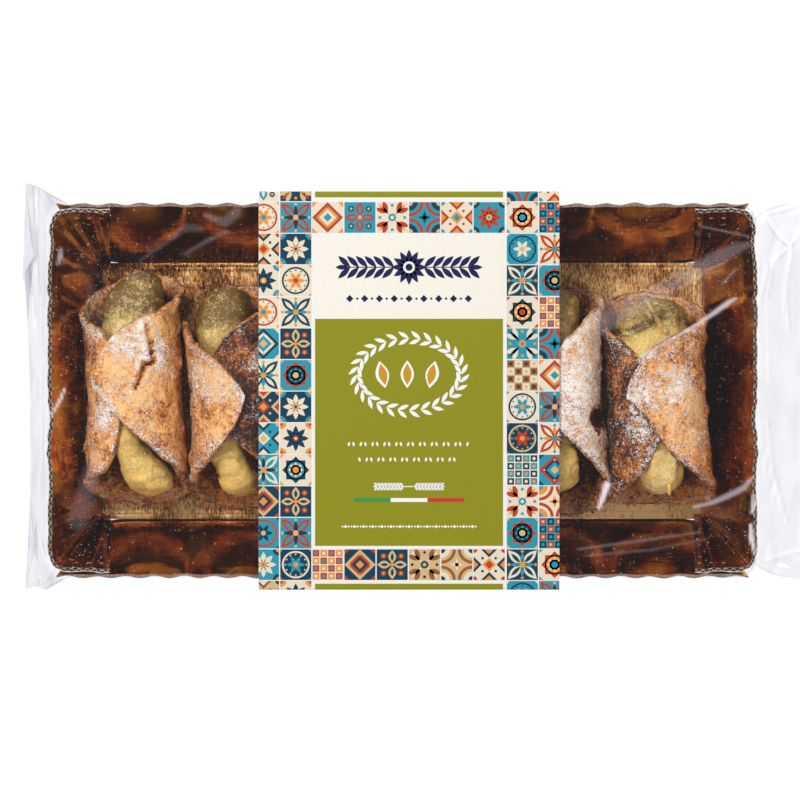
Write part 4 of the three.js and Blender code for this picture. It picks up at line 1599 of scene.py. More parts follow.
@dataclass
class FilmBag:
    """The bag: a tube of film along X that closes round the tray, wedge-shaped at both ends.

    Each section is one loop: over the lid from -Y to +Y, down the side, back under the tray and up.
    """

    lid: Lid
    across: int = 230
    side: int = 12
    under: int = 24
    loops: int = 300  # sections between the rim's two ends
    rim_half: Pair = (120.3, 63.7)
    base_half: Pair = (106.8, 46.5)
    base_z: float = 0.86
    corner: Pair = (7.0, 4.0)  # radius at the rim and at the base
    widening: Pair = (113.6, 0.557)  # where the west end starts to widen, and how fast
    tray_corner: Triple = (113.4, 56.9, 6.6)  # middle and radius of the tray's rounded corner
    seal_milk: Pair = (0.66, 0.34)  # how milky the west and the east seal are
    seal_start: float = 108.0
    fold_start: float = 120.4
    # Sections past the rim: x and z of the upper and of the lower film, the half-widths of both,
    # and how far each follows the cut end's outline.
    west: tuple[tuple[float, ...], ...] = (
        (-130.2, 11.4, -130, 11.1, 70.7, 70.2, 1), (-129.2, 13.9, -129, 13.6, 70.6, 70.2, 1),
        (-128, 16.6, -127.8, 16.3, 70.1, 70, 0.8), (-126.8, 19.2, -126.6, 18.9, 69.5, 69.5, 0.4),
        (-125.6, 22.4, -125.3, 20.6, 69, 69, 0), (-124.2, 27.2, -123, 18.6, 68.6, 66, 0),
        (-122.6, 32, -117.4, 12.6, 68.2, 57, 0), (-121.2, 35.4, -111, 5.2, 67.8, 49, 0),
    )
    east: tuple[tuple[float, ...], ...] = (
        (121.4, 35.8, 111, 5.2, 60.6, 49, 0), (124.2, 33.4, 117.6, 12.2, 62, 56, 0),
        (127.6, 30.4, 124.4, 17.2, 63.2, 61, 0), (131.2, 26.8, 129.8, 20, 64, 63.4, 0),
        (134.2, 23.2, 134, 21.6, 64.4, 64.4, 0.2), (136.4, 21.7, 136.4, 21.4, 65, 65, 0.6),
        (139.2, 20.8, 139.2, 20.5, 65.6, 65.6, 1), (142.4, 19.6, 142.4, 19.3, 66, 66, 1),
    )
    # How far the west seal's cut end steps in and out, with its notch and torn stretches.
    west_edge: tuple[Pair, ...] = (
        (-70, -1.4), (-56, 1.4), (-44, 0.8), (-30, 0.6), (0, 0.4), (32, -0.8),
        (38.5, -2.2), (42, -0.2), (45, 2), (52, 0.6), (68, -1), (72, -1.6),
    )
    # Painted highlights on the film: white bands and lines where it would catch the light.
    gleams: tuple[Gleam, ...] = (
        Gleam(0.09, (
            (118.3, 49.6, 0.54), (113.7, 48.4, 1.86), (109, 46, 2.2), (105.1, 43.6, 2.71), (98.8, 39.9, 2.71),
            (91.2, 35.8, 2.54), (82.4, 31.1, 2.71), (71.4, 24.9, 3.05), (67.5, 22.2, 3.39)
        )),
        Gleam(0.1, ((103.1, 41.5, 2.03), (97.3, 38.8, 2.03))),
        Gleam(0.04, ((-88.9, 44, 0.27), (-80.2, 50, 0.68), (-73.5, 55.4, 1.35), (-68.2, 54.7, 1.02))),
        Gleam(0.06, ((-73.6, 46.2, 0.34), (-66.2, 50.6, 0.74), (-59.4, 54, 0.41))),
        Gleam(0.07, ((-66.9, 59.4, 0.68), (-60.1, 57, 1.52), (-56.4, 60.1, 1.69))),
        Gleam(0.09, ((59.4, -53.7, 0.27), (80.4, -50.9, 0.41), (100.7, -47.9, 0.17))),
        Gleam(0.06, ((61.8, -56, 0.2), (83.8, -54, 0.34), (102.7, -50.3, 0.17))),
        Gleam(0.3, (
            (118.6, -29.6, 0.54), (115.6, -33, 0.88), (110.9, -35.4, 0.88), (105.5, -37.7, 0.74),
            (98.7, -39.4, 0.27)
        )),
        Gleam(0.75, ((69.2, -32, 1.08), (67.9, -35.7, 0.74), (66.5, -39.8, 0.34))),
        Gleam(0.55, (
            (112.9, 31.3, 0.27), (109.9, 29.5, 0.68), (106.1, 26.7, 0.68), (100, 22.5, 0.37), (91.6, 17.8, 0.24),
            (80.4, 11.3, 0.17)
        )),
        Gleam(0.16, ((112.9, 41.1, 0.17), (108.4, 36.3, 0.17))),
        Gleam(0.75, ((118.8, -35.7, 0.34), (119, -38.8, 0.74), (118.3, -41.5, 0.27))),
        Gleam(0.75, ((118, -45.5, 0.34), (118.1, -49.9, 0.74), (119.3, -55, 0.27))),
        Gleam(0.3, ((-115.8, 48.2, 0.27), (-115.9, 45.2, 0.81), (-116.8, 42.8, 0.27))),
        Gleam(0.6, ((-114.6, 0.5, 0.17), (-115.7, -2.6, 0.4), (-118, -6.6, 0.34), (-119.3, -9.2, 0.17))),
        Gleam(0.04, ((-103.8, -21.8, 2.03), (-109.9, -43.8, 3.39))),
        Gleam(0.1, ((100.7, 55.7, 0.2), (117, 52.3, 0.17))),
    )
    # Sharp folds of the seals, with a painted highlight along each fold and painted shade beside it.
    seal_fold_light_and_shade: tuple[Gleam, ...] = (
        Gleam(-0.55, ((-126, 69.6, 0.17), (-126.5, 64.8, 0.35), (-125.7, 58.5, 0.14))),
        Gleam(0.45, ((-127.8, 70.3, 0.21), (-127.4, 60.9, 0.49), (-126, 48.8, 0.28))),
        Gleam(-0.55, ((-126.4, -44.8, 0.17), (-124.3, -49.7, 0.42), (-122.2, -55.6, 0.31), (-118.7, -60.8, 0.17))),
        Gleam(0.4, ((-125, -46.5, 0.21), (-122.2, -53.5, 0.42), (-118, -60.8, 0.17))),
        Gleam(-0.5, ((-123.6, 31.5, 0.21), (-123.9, 3.7, 0.55), (-123.2, -27.5, 0.28))),
        Gleam(0.3, ((-122.2, 31.5, 0.21), (-122, 3.7, 0.31), (-121.9, -27.5, 0.21))),
        Gleam(-0.5, ((-128.1, 32.9, 0.21), (-127.1, 21.1, 0.28))),
        Gleam(-0.6, ((122.9, 60.6, 0.24), (129.5, 62, 0.42), (136.5, 64.8, 0.28))),
        Gleam(0.5, ((122.9, 59.6, 0.21), (129.5, 60.9, 0.35), (136.8, 63.4, 0.21))),
        Gleam(-0.6, ((122.9, 60.6, 0.24), (126.8, 55.1, 0.35), (133, 49.9, 0.49), (136.8, 55.1, 0.28))),
        Gleam(0.55, ((124, 57.1, 0.21), (128.1, 51.9, 0.42), (133, 48.8, 0.42), (137.2, 53, 0.28))),
        Gleam(-0.6, ((133, 49.9, 0.42), (126.1, 44.7, 0.31), (123.3, 31.5, 0.24), (124, 3.7, 0.42))),
        Gleam(0.4, ((132, 48.1, 0.28), (127.1, 43.3, 0.28), (124.7, 31.5, 0.24))),
        Gleam(-0.6, ((133, 49.9, 0.35), (133.3, 44.7, 0.35), (131.3, 34.9, 0.35), (132, 21.1, 0.21))),
        Gleam(0.4, ((134, 44.7, 0.28), (132.3, 34.9, 0.31), (133, 21.1, 0.21))),
        Gleam(-0.6, ((123.3, -10.1, 0.28), (125.4, -27.5, 0.55), (130.9, -44.8, 0.24))),
        Gleam(0.35, ((124.7, -10.1, 0.28), (127.1, -27.5, 0.42), (132.3, -44.8, 0.24))),
        Gleam(-0.6, ((122.9, -57.3, 0.21), (130.9, -55.6, 0.35), (136.8, -54.5, 0.21))),
        Gleam(0.45, ((123.3, -58.7, 0.21), (130.9, -57.3, 0.35), (136.8, -56.3, 0.21))),
    )

    def _wrinkle(self, x: Array, y: Array) -> Array:
        """Give how far the film stands off its plain shape at points seen from above.

        Args:
            x: places along the tray.
            y: places across it.

        Returns:
            One distance for each place.
        """
        flat, noise = rows(x, y, 0.0), SmoothNoise(61)
        folds = noise.at(flat * (0.2, 1.0, 1.0) + 70.0, 6.0)
        total = 0.3 * noise.at(flat * (0.7, 1.0, 1.0), 24.0)
        return total + ease(110.0, 121.0, np.abs(x)) * 0.15 * folds

    def _corner_inset(self, half: float, radius: float, x: float) -> float:
        """Give how much narrower a rounded end is at x than its full width."""
        past = min(max(abs(x) - (half - radius), 0.0), radius)
        return radius - math.sqrt(max(radius**2 - past**2, 0.0))

    def _section(self, top: Array, base: Array) -> Array:
        """Close a loop from the film over the tray and the film under it."""
        shares = np.linspace(0.0, 1.0, self.side + 1)[1:-1, None]
        return np.vstack([top, mix(top[-1], base[0], shares), base, mix(base[-1], top[0], shares)])

    def _over_tray(self, x_rim: float) -> Array:
        """Give the loop that slants from the rim at x_rim to the matching place at the base.

        Args:
            x_rim: where it lies along the tray at the rim.

        Returns:
            The loop's points.
        """
        (rim_x, half_rim), (base_x, half_base) = self.rim_half, self.base_half
        x_base = x_rim * base_x / rim_x
        if x_rim < 0:
            start, rate = self.widening
            half_rim += rate * max(-x_rim - start, 0.0)  # it runs straight past the round corner
        else:
            half_rim -= self._corner_inset(rim_x, self.corner[0], x_rim)
        half_base -= self._corner_inset(base_x, self.corner[1], x_base)
        y = np.linspace(-1.0, 1.0, self.across)
        y = half_rim * (0.8 * y + 0.2 * np.sin(0.5 * np.pi * y))
        x = np.full_like(y, x_rim)
        calm = ease(0.0, 5.0, half_rim - np.abs(y)) * ease(0.0, 4.0, rim_x - abs(x_rim))
        top = rows(x, y, self.lid.height(x, y) + self._wrinkle(x, y) * calm)
        return self._section(top, rows(x_base, np.linspace(half_base, -half_base, self.under), self.base_z))

    def _beyond(self, table: Sequence[Sequence[float]], centre_y: float, edge: Callable[[Array], Array]) -> list[Array]:
        """Give the sections from the rim out to the end of the seal.

        Args:
            table: the given sections; more are spread between them, so that sharp folds show.
            centre_y: the middle of the seal.
            edge: gives how far out the seal's end lies at a place across it.

        Returns:
            The sections' points.
        """
        noise, sections = SmoothNoise(63), []
        at = np.linspace(0.0, len(table) - 1.0, 30)
        columns = [np.interp(at, np.arange(len(table)), column) for column in zip(*table)]
        for upper_x, upper_z, lower_x, lower_z, upper_half, lower_half, ragged in zip(*columns):
            soft = ease(120.0, 124.0, abs(upper_x))
            middle = centre_y * ease(120.0, 127.0, abs(upper_x))
            faces = []
            for x, z, half, steps in (
                (upper_x, upper_z, upper_half, self.across), (lower_x, lower_z, -lower_half, self.under)
            ):
                y = np.linspace(-half, half, steps)
                x_line = x + ragged * edge(y)
                lift = soft * noise.sum_at(rows(x_line * 0.22, y, 0.0), (0.4, 16.0), (0.1, 6.0))
                faces.append(rows(x_line, y + middle, z + lift - soft * (np.abs(y) / abs(half)) ** 4))
            sections.append(self._section(*faces))
        return sections

    def build(self, film: Material) -> Thing:
        """Build the bag as one closed skin.

        Args:
            film: the material.

        Returns:
            The bag.
        """
        sections = self._beyond(self.west, 1.6, lambda y: np.interp(y, *zip(*self.west_edge)))
        sections += [self._over_tray(float(x)) for x in np.linspace(-self.rim_half[0], self.rim_half[0], self.loops)]
        sections += self._beyond(self.east, 0.0, lambda y: 0.5 * np.sin(y * 0.13) + 0.3 * np.sin(y * 0.41 + 1.0))
        columns = len(sections[0])
        points = np.vstack(sections)
        mesh = MeshData()
        mesh.add(points, grid_faces(len(sections), columns, closed=True)[:, ::-1])
        for first, flip in ((0, False), (len(points) - columns, True)):
            # The far end of the seal is closed by strips between the two faces of film.
            top = first + np.arange(self.across)
            low = first + columns - 1 - np.linspace(0, columns - self.across - 1, self.across).round().astype(int)
            for i in range(self.across - 1):
                face = list(dict.fromkeys([top[i], top[i + 1], low[i + 1], low[i]]))
                mesh.link([face[::-1] if flip else face])
        plan, out = points[:, :2], np.abs(points[:, 0])
        # Past the tray's rounded outline the film is one loose fold on another.
        *middle, radius = self.tray_corner
        past = np.linalg.norm(np.maximum(np.abs(plan) - middle, 0.0), axis=1) - radius
        seal = np.where(plan[:, 0] < 0.0, *self.seal_milk) * ease(0.2, 1.2, past) * (out > self.seal_start)
        for fold in self.seal_fold_light_and_shade:
            seal += fold.at(plan) * (out > self.fold_start)
        milk = np.maximum(np.max([gleam.at(plan) for gleam in self.gleams], axis=0), 0.0)
        # The film under the tray stays plain.
        milk *= np.tile(np.arange(columns) < self.across, len(sections))
        return mesh.build("film_bag", "clear_film", [film], {"seal": seal, "milk": milk})


# ---- The printed sleeve ----


class Ink(Enum):
    """The sleeve's printed colours, in the order of the print's material slots."""

    IVORY = "#fbf6e8"
    GREEN = "#94921f"
    NAVY = "#1f2452"
    TURQUOISE = "#2f9bb0"
    PETROL = "#134257"
    ORANGE = "#ee9a47"
    BRICK = "#c1452a"
    CREAM = "#f0e2c8"
    BROWN = "#9c6138"
    OCHRE = "#d09a2c"
    WHITE = "#fdfcf8"
    FLAG_GREEN = "#3d9a4e"
    FLAG_RED = "#d13a35"
    SAND = "#dcba86"


class Motif(Enum):
    """The patterns of the glazed tiles that the print shows."""

    ROSETTE, EIGHT_STAR, CROSS, LATTICE, PETALS, DIAMONDS, SCALES, MEDALLION, CHECKS, LEAVES = range(10)


Shape = tuple[int, Ink, Array]  # layer, ink, outline in units of one tile


def disc(x: float, y: float, radius: float, corners: int = 20, turn: float = 0.0) -> Array:
    """Give a regular outline: a disc with many corners, a square or a diamond with four."""
    angles = np.linspace(0.0, 2.0 * np.pi, corners, endpoint=False) + turn
    return rows(x + radius * np.cos(angles), y + radius * np.sin(angles))


def leaf(x: float, y: float, length: float, width: float, turn: float) -> Array:
    """Give the outline of a pointed leaf that starts at x, y and grows in one direction.

    Args:
        x: where it starts.
        y: where it starts.
        length: from end to end.
        width: at its middle.
        turn: the direction in radians.

    Returns:
        Its corners, in order.
    """
    along = np.linspace(0.0, 1.0, 7)
    upper = rows(along * length, 0.5 * width * np.sin(np.pi * along))
    outline = np.vstack([upper, upper[-2:0:-1] * np.array([1.0, -1.0])])
    cosine, sine = math.cos(turn), math.sin(turn)
    return outline @ np.array([[cosine, sine], [-sine, cosine]]) + (x, y)


def clip_band(outline: Array, axis: int, low: float, high: float) -> Array:
    """Cut a convex outline to a band across one axis.

    Args:
        outline: the corners, in order.
        axis: 0 for a band across x, 1 for a band across y.
        low: the band's lower limit.
        high: the band's upper limit.

    Returns:
        The corners that are left, which may be none.
    """
    for limit, sign in ((low, 1.0), (high, -1.0)):
        kept = []
        for before, here in zip([*outline[-1:], *outline], outline):
            inside = [sign * (corner[axis] - limit) >= 0.0 for corner in (before, here)]
            if inside[0] != inside[1]:
                kept.append(before + (limit - before[axis]) / (here[axis] - before[axis]) * (here - before))
            if inside[1]:
                kept.append(here)
        outline = np.array(kept)
        if len(outline) < 3:
            return np.zeros((0, 2))
    return outline


def tile_shapes(motif: Motif, ground: Ink, main: Ink, second: Ink, accent: Ink) -> list[Shape]:
    """Draw one tile.

    Args:
        motif: the pattern.
        ground: the ink under the pattern.
        main: the pattern's first ink.
        second: its second ink.
        accent: the ink of its small parts.

    Returns:
        The tile's shapes, each with the layer it is printed in.
    """
    eighth = math.pi / 4
    quarters = [2 * k * eighth for k in range(4)]
    diagonals = [turn + eighth for turn in quarters]
    middle = [(0.0, 0.0)]
    corners = [(-0.5, -0.5), (0.5, -0.5), (0.5, 0.5), (-0.5, 0.5)]

    def ring(turns: Sequence[float], radius: float) -> list[Pair]:
        """Places on a circle at these angles."""
        return [(radius * math.cos(turn), radius * math.sin(turn)) for turn in turns]

    def petals(turns: Sequence[float], start: float = 0.0) -> list[Triple]:
        """Places on a circle with the turn at which a leaf grows outwards."""
        return [(x, y, turn) for (x, y), turn in zip(ring(turns, start), turns)]

    def inward(share: float, *bends: float) -> list[Triple]:
        """Places on the diagonals with the turns of the leaves that grow from them."""
        return [(x * share, y * share, math.atan2(y, x) + bend) for x, y in corners for bend in bends]

    # Layer, ink and places, and then a leaf's length and width or a disc's radius, corners and turn.
    marks = {
        Motif.ROSETTE: (
            (1, second, corners, 0.2), (2, accent, corners, 0.1),
            (1, main, petals([k * eighth for k in range(8)]), 0.42, 0.17),
            (2, accent, middle, 0.1), (3, ground, middle, 0.045, 12),
        ),
        Motif.EIGHT_STAR: (
            (1, main, middle, 0.44, 4), (1, main, middle, 0.44, 4, eighth), (2, second, middle, 0.27),
            (3, ground, middle, 0.24, 4), (3, ground, middle, 0.24, 4, eighth), (4, accent, middle, 0.1),
            (1, accent, corners, 0.13, 4),
        ),
        Motif.CROSS: (
            (1, main, petals(quarters, 0.04), 0.44, 0.26), (2, ground, petals(quarters, 0.12), 0.26, 0.1),
            (1, second, ring(diagonals, 0.4), 0.09), (2, accent, ring(diagonals, 0.4), 0.045, 12),
            (3, accent, middle, 0.08, 4),
        ),
        Motif.LATTICE: (
            (1, main, ring(quarters, 0.5), 0.26, 4), (2, second, ring(quarters, 0.5), 0.15, 4),
            (1, second, middle, 0.22, 4), (2, accent, middle, 0.13, 4), (1, accent, corners, 0.12),
            (1, main, ring(diagonals, 0.3), 0.045, 10),
        ),
        Motif.PETALS: (
            (1, main, petals(diagonals), 0.66, 0.28), (2, ground, petals(diagonals, 0.08), 0.44, 0.12),
            (1, second, petals(quarters), 0.4, 0.13), (3, accent, middle, 0.09),
            (1, accent, ring(quarters, 0.43), 0.06, 4),
        ),
        Motif.DIAMONDS: (
            (1, main, middle, 0.5, 4), (2, second, middle, 0.38, 4), (3, ground, middle, 0.27, 4),
            (4, accent, middle, 0.14, 4), (1, second, corners, 0.17, 4), (3, accent, ring(quarters, 0.33), 0.035, 10),
        ),
        Motif.SCALES: (
            (1, main, corners, 0.47, 28), (2, ground, corners, 0.37, 28), (3, second, corners, 0.28, 28),
            (4, accent, corners, 0.13, 28), (1, second, petals(quarters[:2], -0.2), 0.4, 0.12),
        ),
        Motif.MEDALLION: (
            (1, main, middle, 0.45, 28), (2, ground, middle, 0.39, 28),
            (3, second, petals([k * math.pi / 3 for k in range(6)]), 0.3, 0.13),
            (3, main, ring([k * math.pi / 6 for k in range(12)], 0.34), 0.026, 8),
            (4, accent, middle, 0.08), (1, second, corners, 0.1, 4),
        ),
        Motif.CHECKS: [
            (layer, inks[(row + column) % 2], [(0.25 * column - 0.375, 0.25 * row - 0.375)], *sizes)
            for row, column in itertools.product(range(4), repeat=2)
            for layer, inks, sizes in ((1, (second, main), (0.15, 4, eighth)), (2, (ground, accent), (0.055, 10)))
        ],
        Motif.LEAVES: (
            (1, main, inward(0.3, -0.42, 0.42), 0.44, 0.16), (1, second, inward(0.16, 0.0), 0.52, 0.1),
            (2, accent, middle, 0.13, 8), (3, ground, middle, 0.06, 8), (1, accent, ring(quarters, 0.4), 0.05, 8),
        ),
    }
    shapes: list[Shape] = [(0, ground, disc(0, 0, math.sqrt(0.5), 4, eighth))]
    for layer, ink, places, *sizes in marks[motif]:
        for x, y, *turn in places:
            shapes.append((layer, ink, leaf(x, y, *sizes, *turn) if turn else disc(x, y, *sizes)))
    return shapes


@dataclass
class PrintedSleeve:
    """The card band and its print: glazed-tile borders round an ivory panel and a green one.

    A place on the print is u along the pack from the band's middle, and v across it, measured
    along the card from the middle of the top, over the folds and down the sides.
    """

    centre_x: float = 2.2
    half_length: float = 50.75
    top_half: float = 67.6
    base_half: float = 47.5
    height: float = 40.0
    fold: float = 0.8
    first_row: float = 63.55
    row_pitch: float = 10.65
    tile: Pair = (10.45, 10.3)
    # Where the tile columns start: four beside the panels, and six above and below them.
    starts: tuple[float, ...] = (-54.35, -43.45, 33.0, 43.9, -32.7, -21.8, -10.9, 0.0, 10.9, 21.8)
    panel_half: float = 31.7
    mesh: MeshData = field(default_factory=MeshData)
    profile: Array = field(default_factory=lambda: np.zeros((0, 4)))

    def __post_init__(self) -> None:
        """Trace the card's outer face from the middle of the top to the middle of the base."""
        slope = unit(np.array([self.base_half - self.top_half, -self.height]))
        outward = np.array([1.0, 0.0])
        lines = [np.array([0.0, self.height])]
        for corner, arriving, leaving in (
            (np.array([self.top_half, self.height]), outward, slope), (np.array([self.base_half, 0.0]), slope, -outward)
        ):
            reach = self.fold / math.tan(0.5 * math.acos(float(np.dot(-arriving, leaving))))
            start, end = corner - arriving * reach, corner + leaving * reach
            for t in np.linspace(0.0, 1.0, 6):
                lines.append((1 - t) ** 2 * start + 2 * t * (1 - t) * corner + t * t * end)
        points = np.array([*lines, [0.0, 0.0]])
        length = np.concatenate([[0.0], np.cumsum(np.linalg.norm(np.diff(points, axis=0), axis=1))])
        self.profile = np.column_stack([length, points])

    def place(self, u: Array, v: Array, lift: float) -> Array:
        """Turn places on the print to points in space.

        Args:
            u: places along the pack.
            v: places across the card.
            lift: how far the point stands off the card.

        Returns:
            Rows of x, y and z in millimetres.
        """
        away, step = np.abs(v), 0.4
        (y, z), ahead, back = (
            np.array([np.interp(at, self.profile[:, 0], self.profile[:, k]) for k in (1, 2)])
            for at in (away, away + step, np.maximum(away - step, 0.0))
        )
        run_y, run_z = ahead - back
        size = np.maximum(np.hypot(run_y, run_z), 1e-9)
        y, z = y - run_z / size * lift, z + run_y / size * lift
        return rows(self.centre_x + u, np.where(v < 0, -y, y), z)

    def ink(self, outline: Array, ink: Ink, layer: int) -> None:
        """Print one convex outline, cut to the card and bent over its folds.

        Args:
            outline: rows of u and v.
            ink: the colour.
            layer: the printing layer; a higher one lies on the lower ones.
        """
        outline = clip_band(outline, 0, -self.half_length + 0.02, self.half_length - 0.02)
        if len(outline) < 3:
            return
        u, v = outline.T
        if np.sum(u * np.roll(v, -1) - np.roll(u, -1) * v) < 0:
            outline = outline[::-1]
        low, high = v.min(), v.max()
        folds = [sign * length for length in self.profile[1:-1, 0] for sign in (-1.0, 1.0)]
        cuts = sorted([low, *(fold for fold in folds if low < fold < high), high])
        for start, end in zip(cuts, cuts[1:]):
            part = outline if len(cuts) == 2 else clip_band(outline, 1, start, end)
            if len(part) < 3 or end - start < 1e-4:
                continue
            count = len(part)
            upper, lower = (self.place(part[:, 0], part[:, 1], lift) for lift in (0.03 + 0.022 * layer, 0.008))
            faces = [range(count), range(2 * count - 1, count - 1, -1)]
            faces += [[i, count + i, count + (i + 1) % count, (i + 1) % count] for i in range(count)]
            self.mesh.add(np.vstack([upper, lower]), faces, list(Ink).index(ink))

    def rectangle(self, low_u: float, high_u: float, low_v: float, high_v: float, ink: Ink, layer: int) -> None:
        """Print a rectangle."""
        self.ink(np.array([(low_u, low_v), (high_u, low_v), (high_u, high_v), (low_u, high_v)]), ink, layer)

    def _borders(self) -> None:
        """Print the tiles down both sides of the band and in the two rows across it.

        Each tile has its own pattern and set of inks.
        """
        schemes = (
            (Ink.CREAM, Ink.TURQUOISE, Ink.PETROL, Ink.ORANGE), (Ink.CREAM, Ink.PETROL, Ink.TURQUOISE, Ink.ORANGE),
            (Ink.TURQUOISE, Ink.CREAM, Ink.PETROL, Ink.ORANGE), (Ink.PETROL, Ink.CREAM, Ink.TURQUOISE, Ink.ORANGE),
            (Ink.CREAM, Ink.BRICK, Ink.ORANGE, Ink.TURQUOISE), (Ink.PETROL, Ink.SAND, Ink.BRICK, Ink.ORANGE),
            (Ink.SAND, Ink.BROWN, Ink.CREAM, Ink.PETROL), (Ink.CREAM, Ink.PETROL, Ink.ORANGE, Ink.BRICK),
            (Ink.TURQUOISE, Ink.PETROL, Ink.CREAM, Ink.SAND), (Ink.TURQUOISE, Ink.BRICK, Ink.PETROL, Ink.SAND),
        )
        cells = [*itertools.product(range(20), range(4)), *itertools.product((4, 15), range(4, 10))]
        size = np.array(self.tile)
        for row, column in cells:
            motif = list(Motif)[(3 * row + 7 * column + row * row // 3) % len(Motif)]
            scheme = schemes[(3 * row + 3 * column + (row * column + row) // 2) % len(schemes)]
            high_v = self.first_row - self.row_pitch * (row - 4)
            centre = np.array([self.starts[column] + 0.5 * size[0], high_v - 0.5 * size[1]])
            for layer, ink, outline in tile_shapes(motif, *scheme):
                cut = clip_band(clip_band(outline, 0, -0.5, 0.5), 1, -0.5, 0.5) if layer else outline
                if len(cut) >= 3:
                    self.ink(cut * size + centre, ink, 1 + layer)

    def _garland(self, v: float, reach: float, size: float, ink: Ink) -> None:
        """Print a level spray of leaf pairs to both sides of the panel's middle.

        Args:
            v: its place across the card.
            reach: its half-length.
            size: a leaf's length.
            ink: the colour.
        """
        self.rectangle(-reach, reach, v - 0.16, v + 0.16, ink, 2)
        count = max(2, round(reach / (0.62 * size)))
        for side in (-1.0, 1.0):
            for i, bend in itertools.product(range(count), (0.75, -0.75)):
                start = side * (0.9 * size + (reach - 1.2 * size) * i / (count - 1))
                self.ink(leaf(start, v, size, 0.34 * size, bend if side > 0 else math.pi - bend), ink, 2)
            tip = side * (reach - 0.2 * size)
            self.ink(leaf(tip, v, 0.8 * size, 0.3 * size, 0.0 if side > 0 else math.pi), ink, 2)

    def _ivory_panel(self) -> None:
        """Print the ivory panel: a navy garland with a rosette over a line of lozenges."""
        self.rectangle(-self.panel_half, self.panel_half, 24.2, 52.0, Ink.IVORY, 1)
        self._garland(41.6, 21.5, 5.6, Ink.NAVY)
        for k in range(12):
            self.ink(leaf(0.0, 41.6, 6.0, 2.1, k * math.pi / 6), Ink.NAVY, 3)
        self.ink(disc(0.0, 41.6, 2.0), Ink.IVORY, 4)
        self.ink(disc(0.0, 41.6, 1.2), Ink.NAVY, 5)
        for k in range(-8, 9):
            self.ink(disc(2.5 * k, 31.0, 0.5 if k % 2 else 1.25, 4), Ink.NAVY, 2)

    def _green_panel(self) -> None:
        """Print the green panel: a wreath of white leaves round three nuts, and fine rows under it."""
        self.rectangle(-self.panel_half, self.panel_half, -52.4, 24.2, Ink.GREEN, 1)
        middle, across, high, upright = 5.4, 17.6, 12.2, 1.57
        for k in range(28):
            turn = 2.0 * math.pi * k / 28
            heading = math.atan2(high * math.cos(turn), -across * math.sin(turn))
            for bend in (0.55, -0.55):
                start = (across * math.cos(turn), middle + high * math.sin(turn))
                self.ink(leaf(*start, 4.3, 1.35, heading + bend), Ink.WHITE, 2)
        for k in range(3):
            for drop, length, width, ink, layer in ((4.6, 9.4, 4.6, Ink.WHITE, 2), (3.6, 7.4, 2.9, Ink.OCHRE, 3)):
                nut = leaf((k - 1) * 7.4 - 0.6, middle - drop, length, width, upright + 0.22 * (1 - k))
                self.ink(nut, ink, layer)
        for row, (v, count) in enumerate(((-18.2, 10), (-23.4, 8))):
            for k in range(-count, count + 1):
                lean = 0.9 if (k + row) % 2 else -0.9
                self.ink(leaf(2.0 * k - 0.5, v - 0.7, 1.7, 0.8, upright + 0.3 * lean), Ink.WHITE, 2)
        self._garland(-32.4, 11.0, 2.0, Ink.WHITE)
        for k, ink in enumerate((Ink.FLAG_GREEN, Ink.WHITE, Ink.FLAG_RED)):
            low = -18.6 + 12.4 * k
            self.rectangle(low, low + 12.4, -37.6, -36.3, ink, 2)
        for k in range(-22, 23):
            self.ink(disc(1.02 * k, -45.9, 0.4 if k % 3 else 0.6, 4), Ink.WHITE, 2)

    def _field(self, side: float, half_u: float, near: float, far: float, ink: Ink, layer: int) -> None:
        """Print a rectangle on one side of the card, given by its distances from the middle."""
        self.rectangle(-half_u, half_u, *sorted((side * near, side * far)), ink, layer)

    def _sides(self) -> None:
        """Print the sloping sides: a green panel with a row of white leaves."""
        for side in (-1.0, 1.0):
            self._field(side, self.panel_half, 65.2, 106.4, Ink.GREEN, 1)
            for (row, away), k in itertools.product(enumerate((78.0, 85.0, 92.0)), range(-4, 5)):
                u = 6.2 * k + (3.1 if row % 2 else 0.0)
                if abs(u) <= 27.0:
                    for bend in (0.0, 2.09, 4.19):
                        self.ink(leaf(u, side * away, 2.6, 1.0, 0.52 + bend), Ink.WHITE, 2)
                    self.ink(disc(u, side * away, 0.5), Ink.OCHRE, 3)

    def _base(self) -> None:
        """Print the plain base: one ivory field inside a thin green frame."""
        for side in (-1.0, 1.0):
            self._field(side, 44.0, 118.0, 159.0, Ink.GREEN, 1)
            self._field(side, 42.8, 119.2, 159.0, Ink.IVORY, 2)

    def build(self, card: Thing, white: Material) -> Thing:
        """Print the whole sleeve.

        Args:
            card: the card, which gets its coated white face.
            white: the material of that face.

        Returns:
            The print as one piece of thin ink.
        """
        card.data.materials.clear()
        card.data.materials.append(white)
        for draw in (self._borders, self._ivory_panel, self._green_panel, self._sides, self._base):
            draw()
        inks = [coated_ink(f"ink_{ink.name.lower()}", ink.value).make() for ink in Ink]
        return self.mesh.build("sleeve_print", "printed_card", inks, smooth=False, replaces=None)


# ---- Studio ----


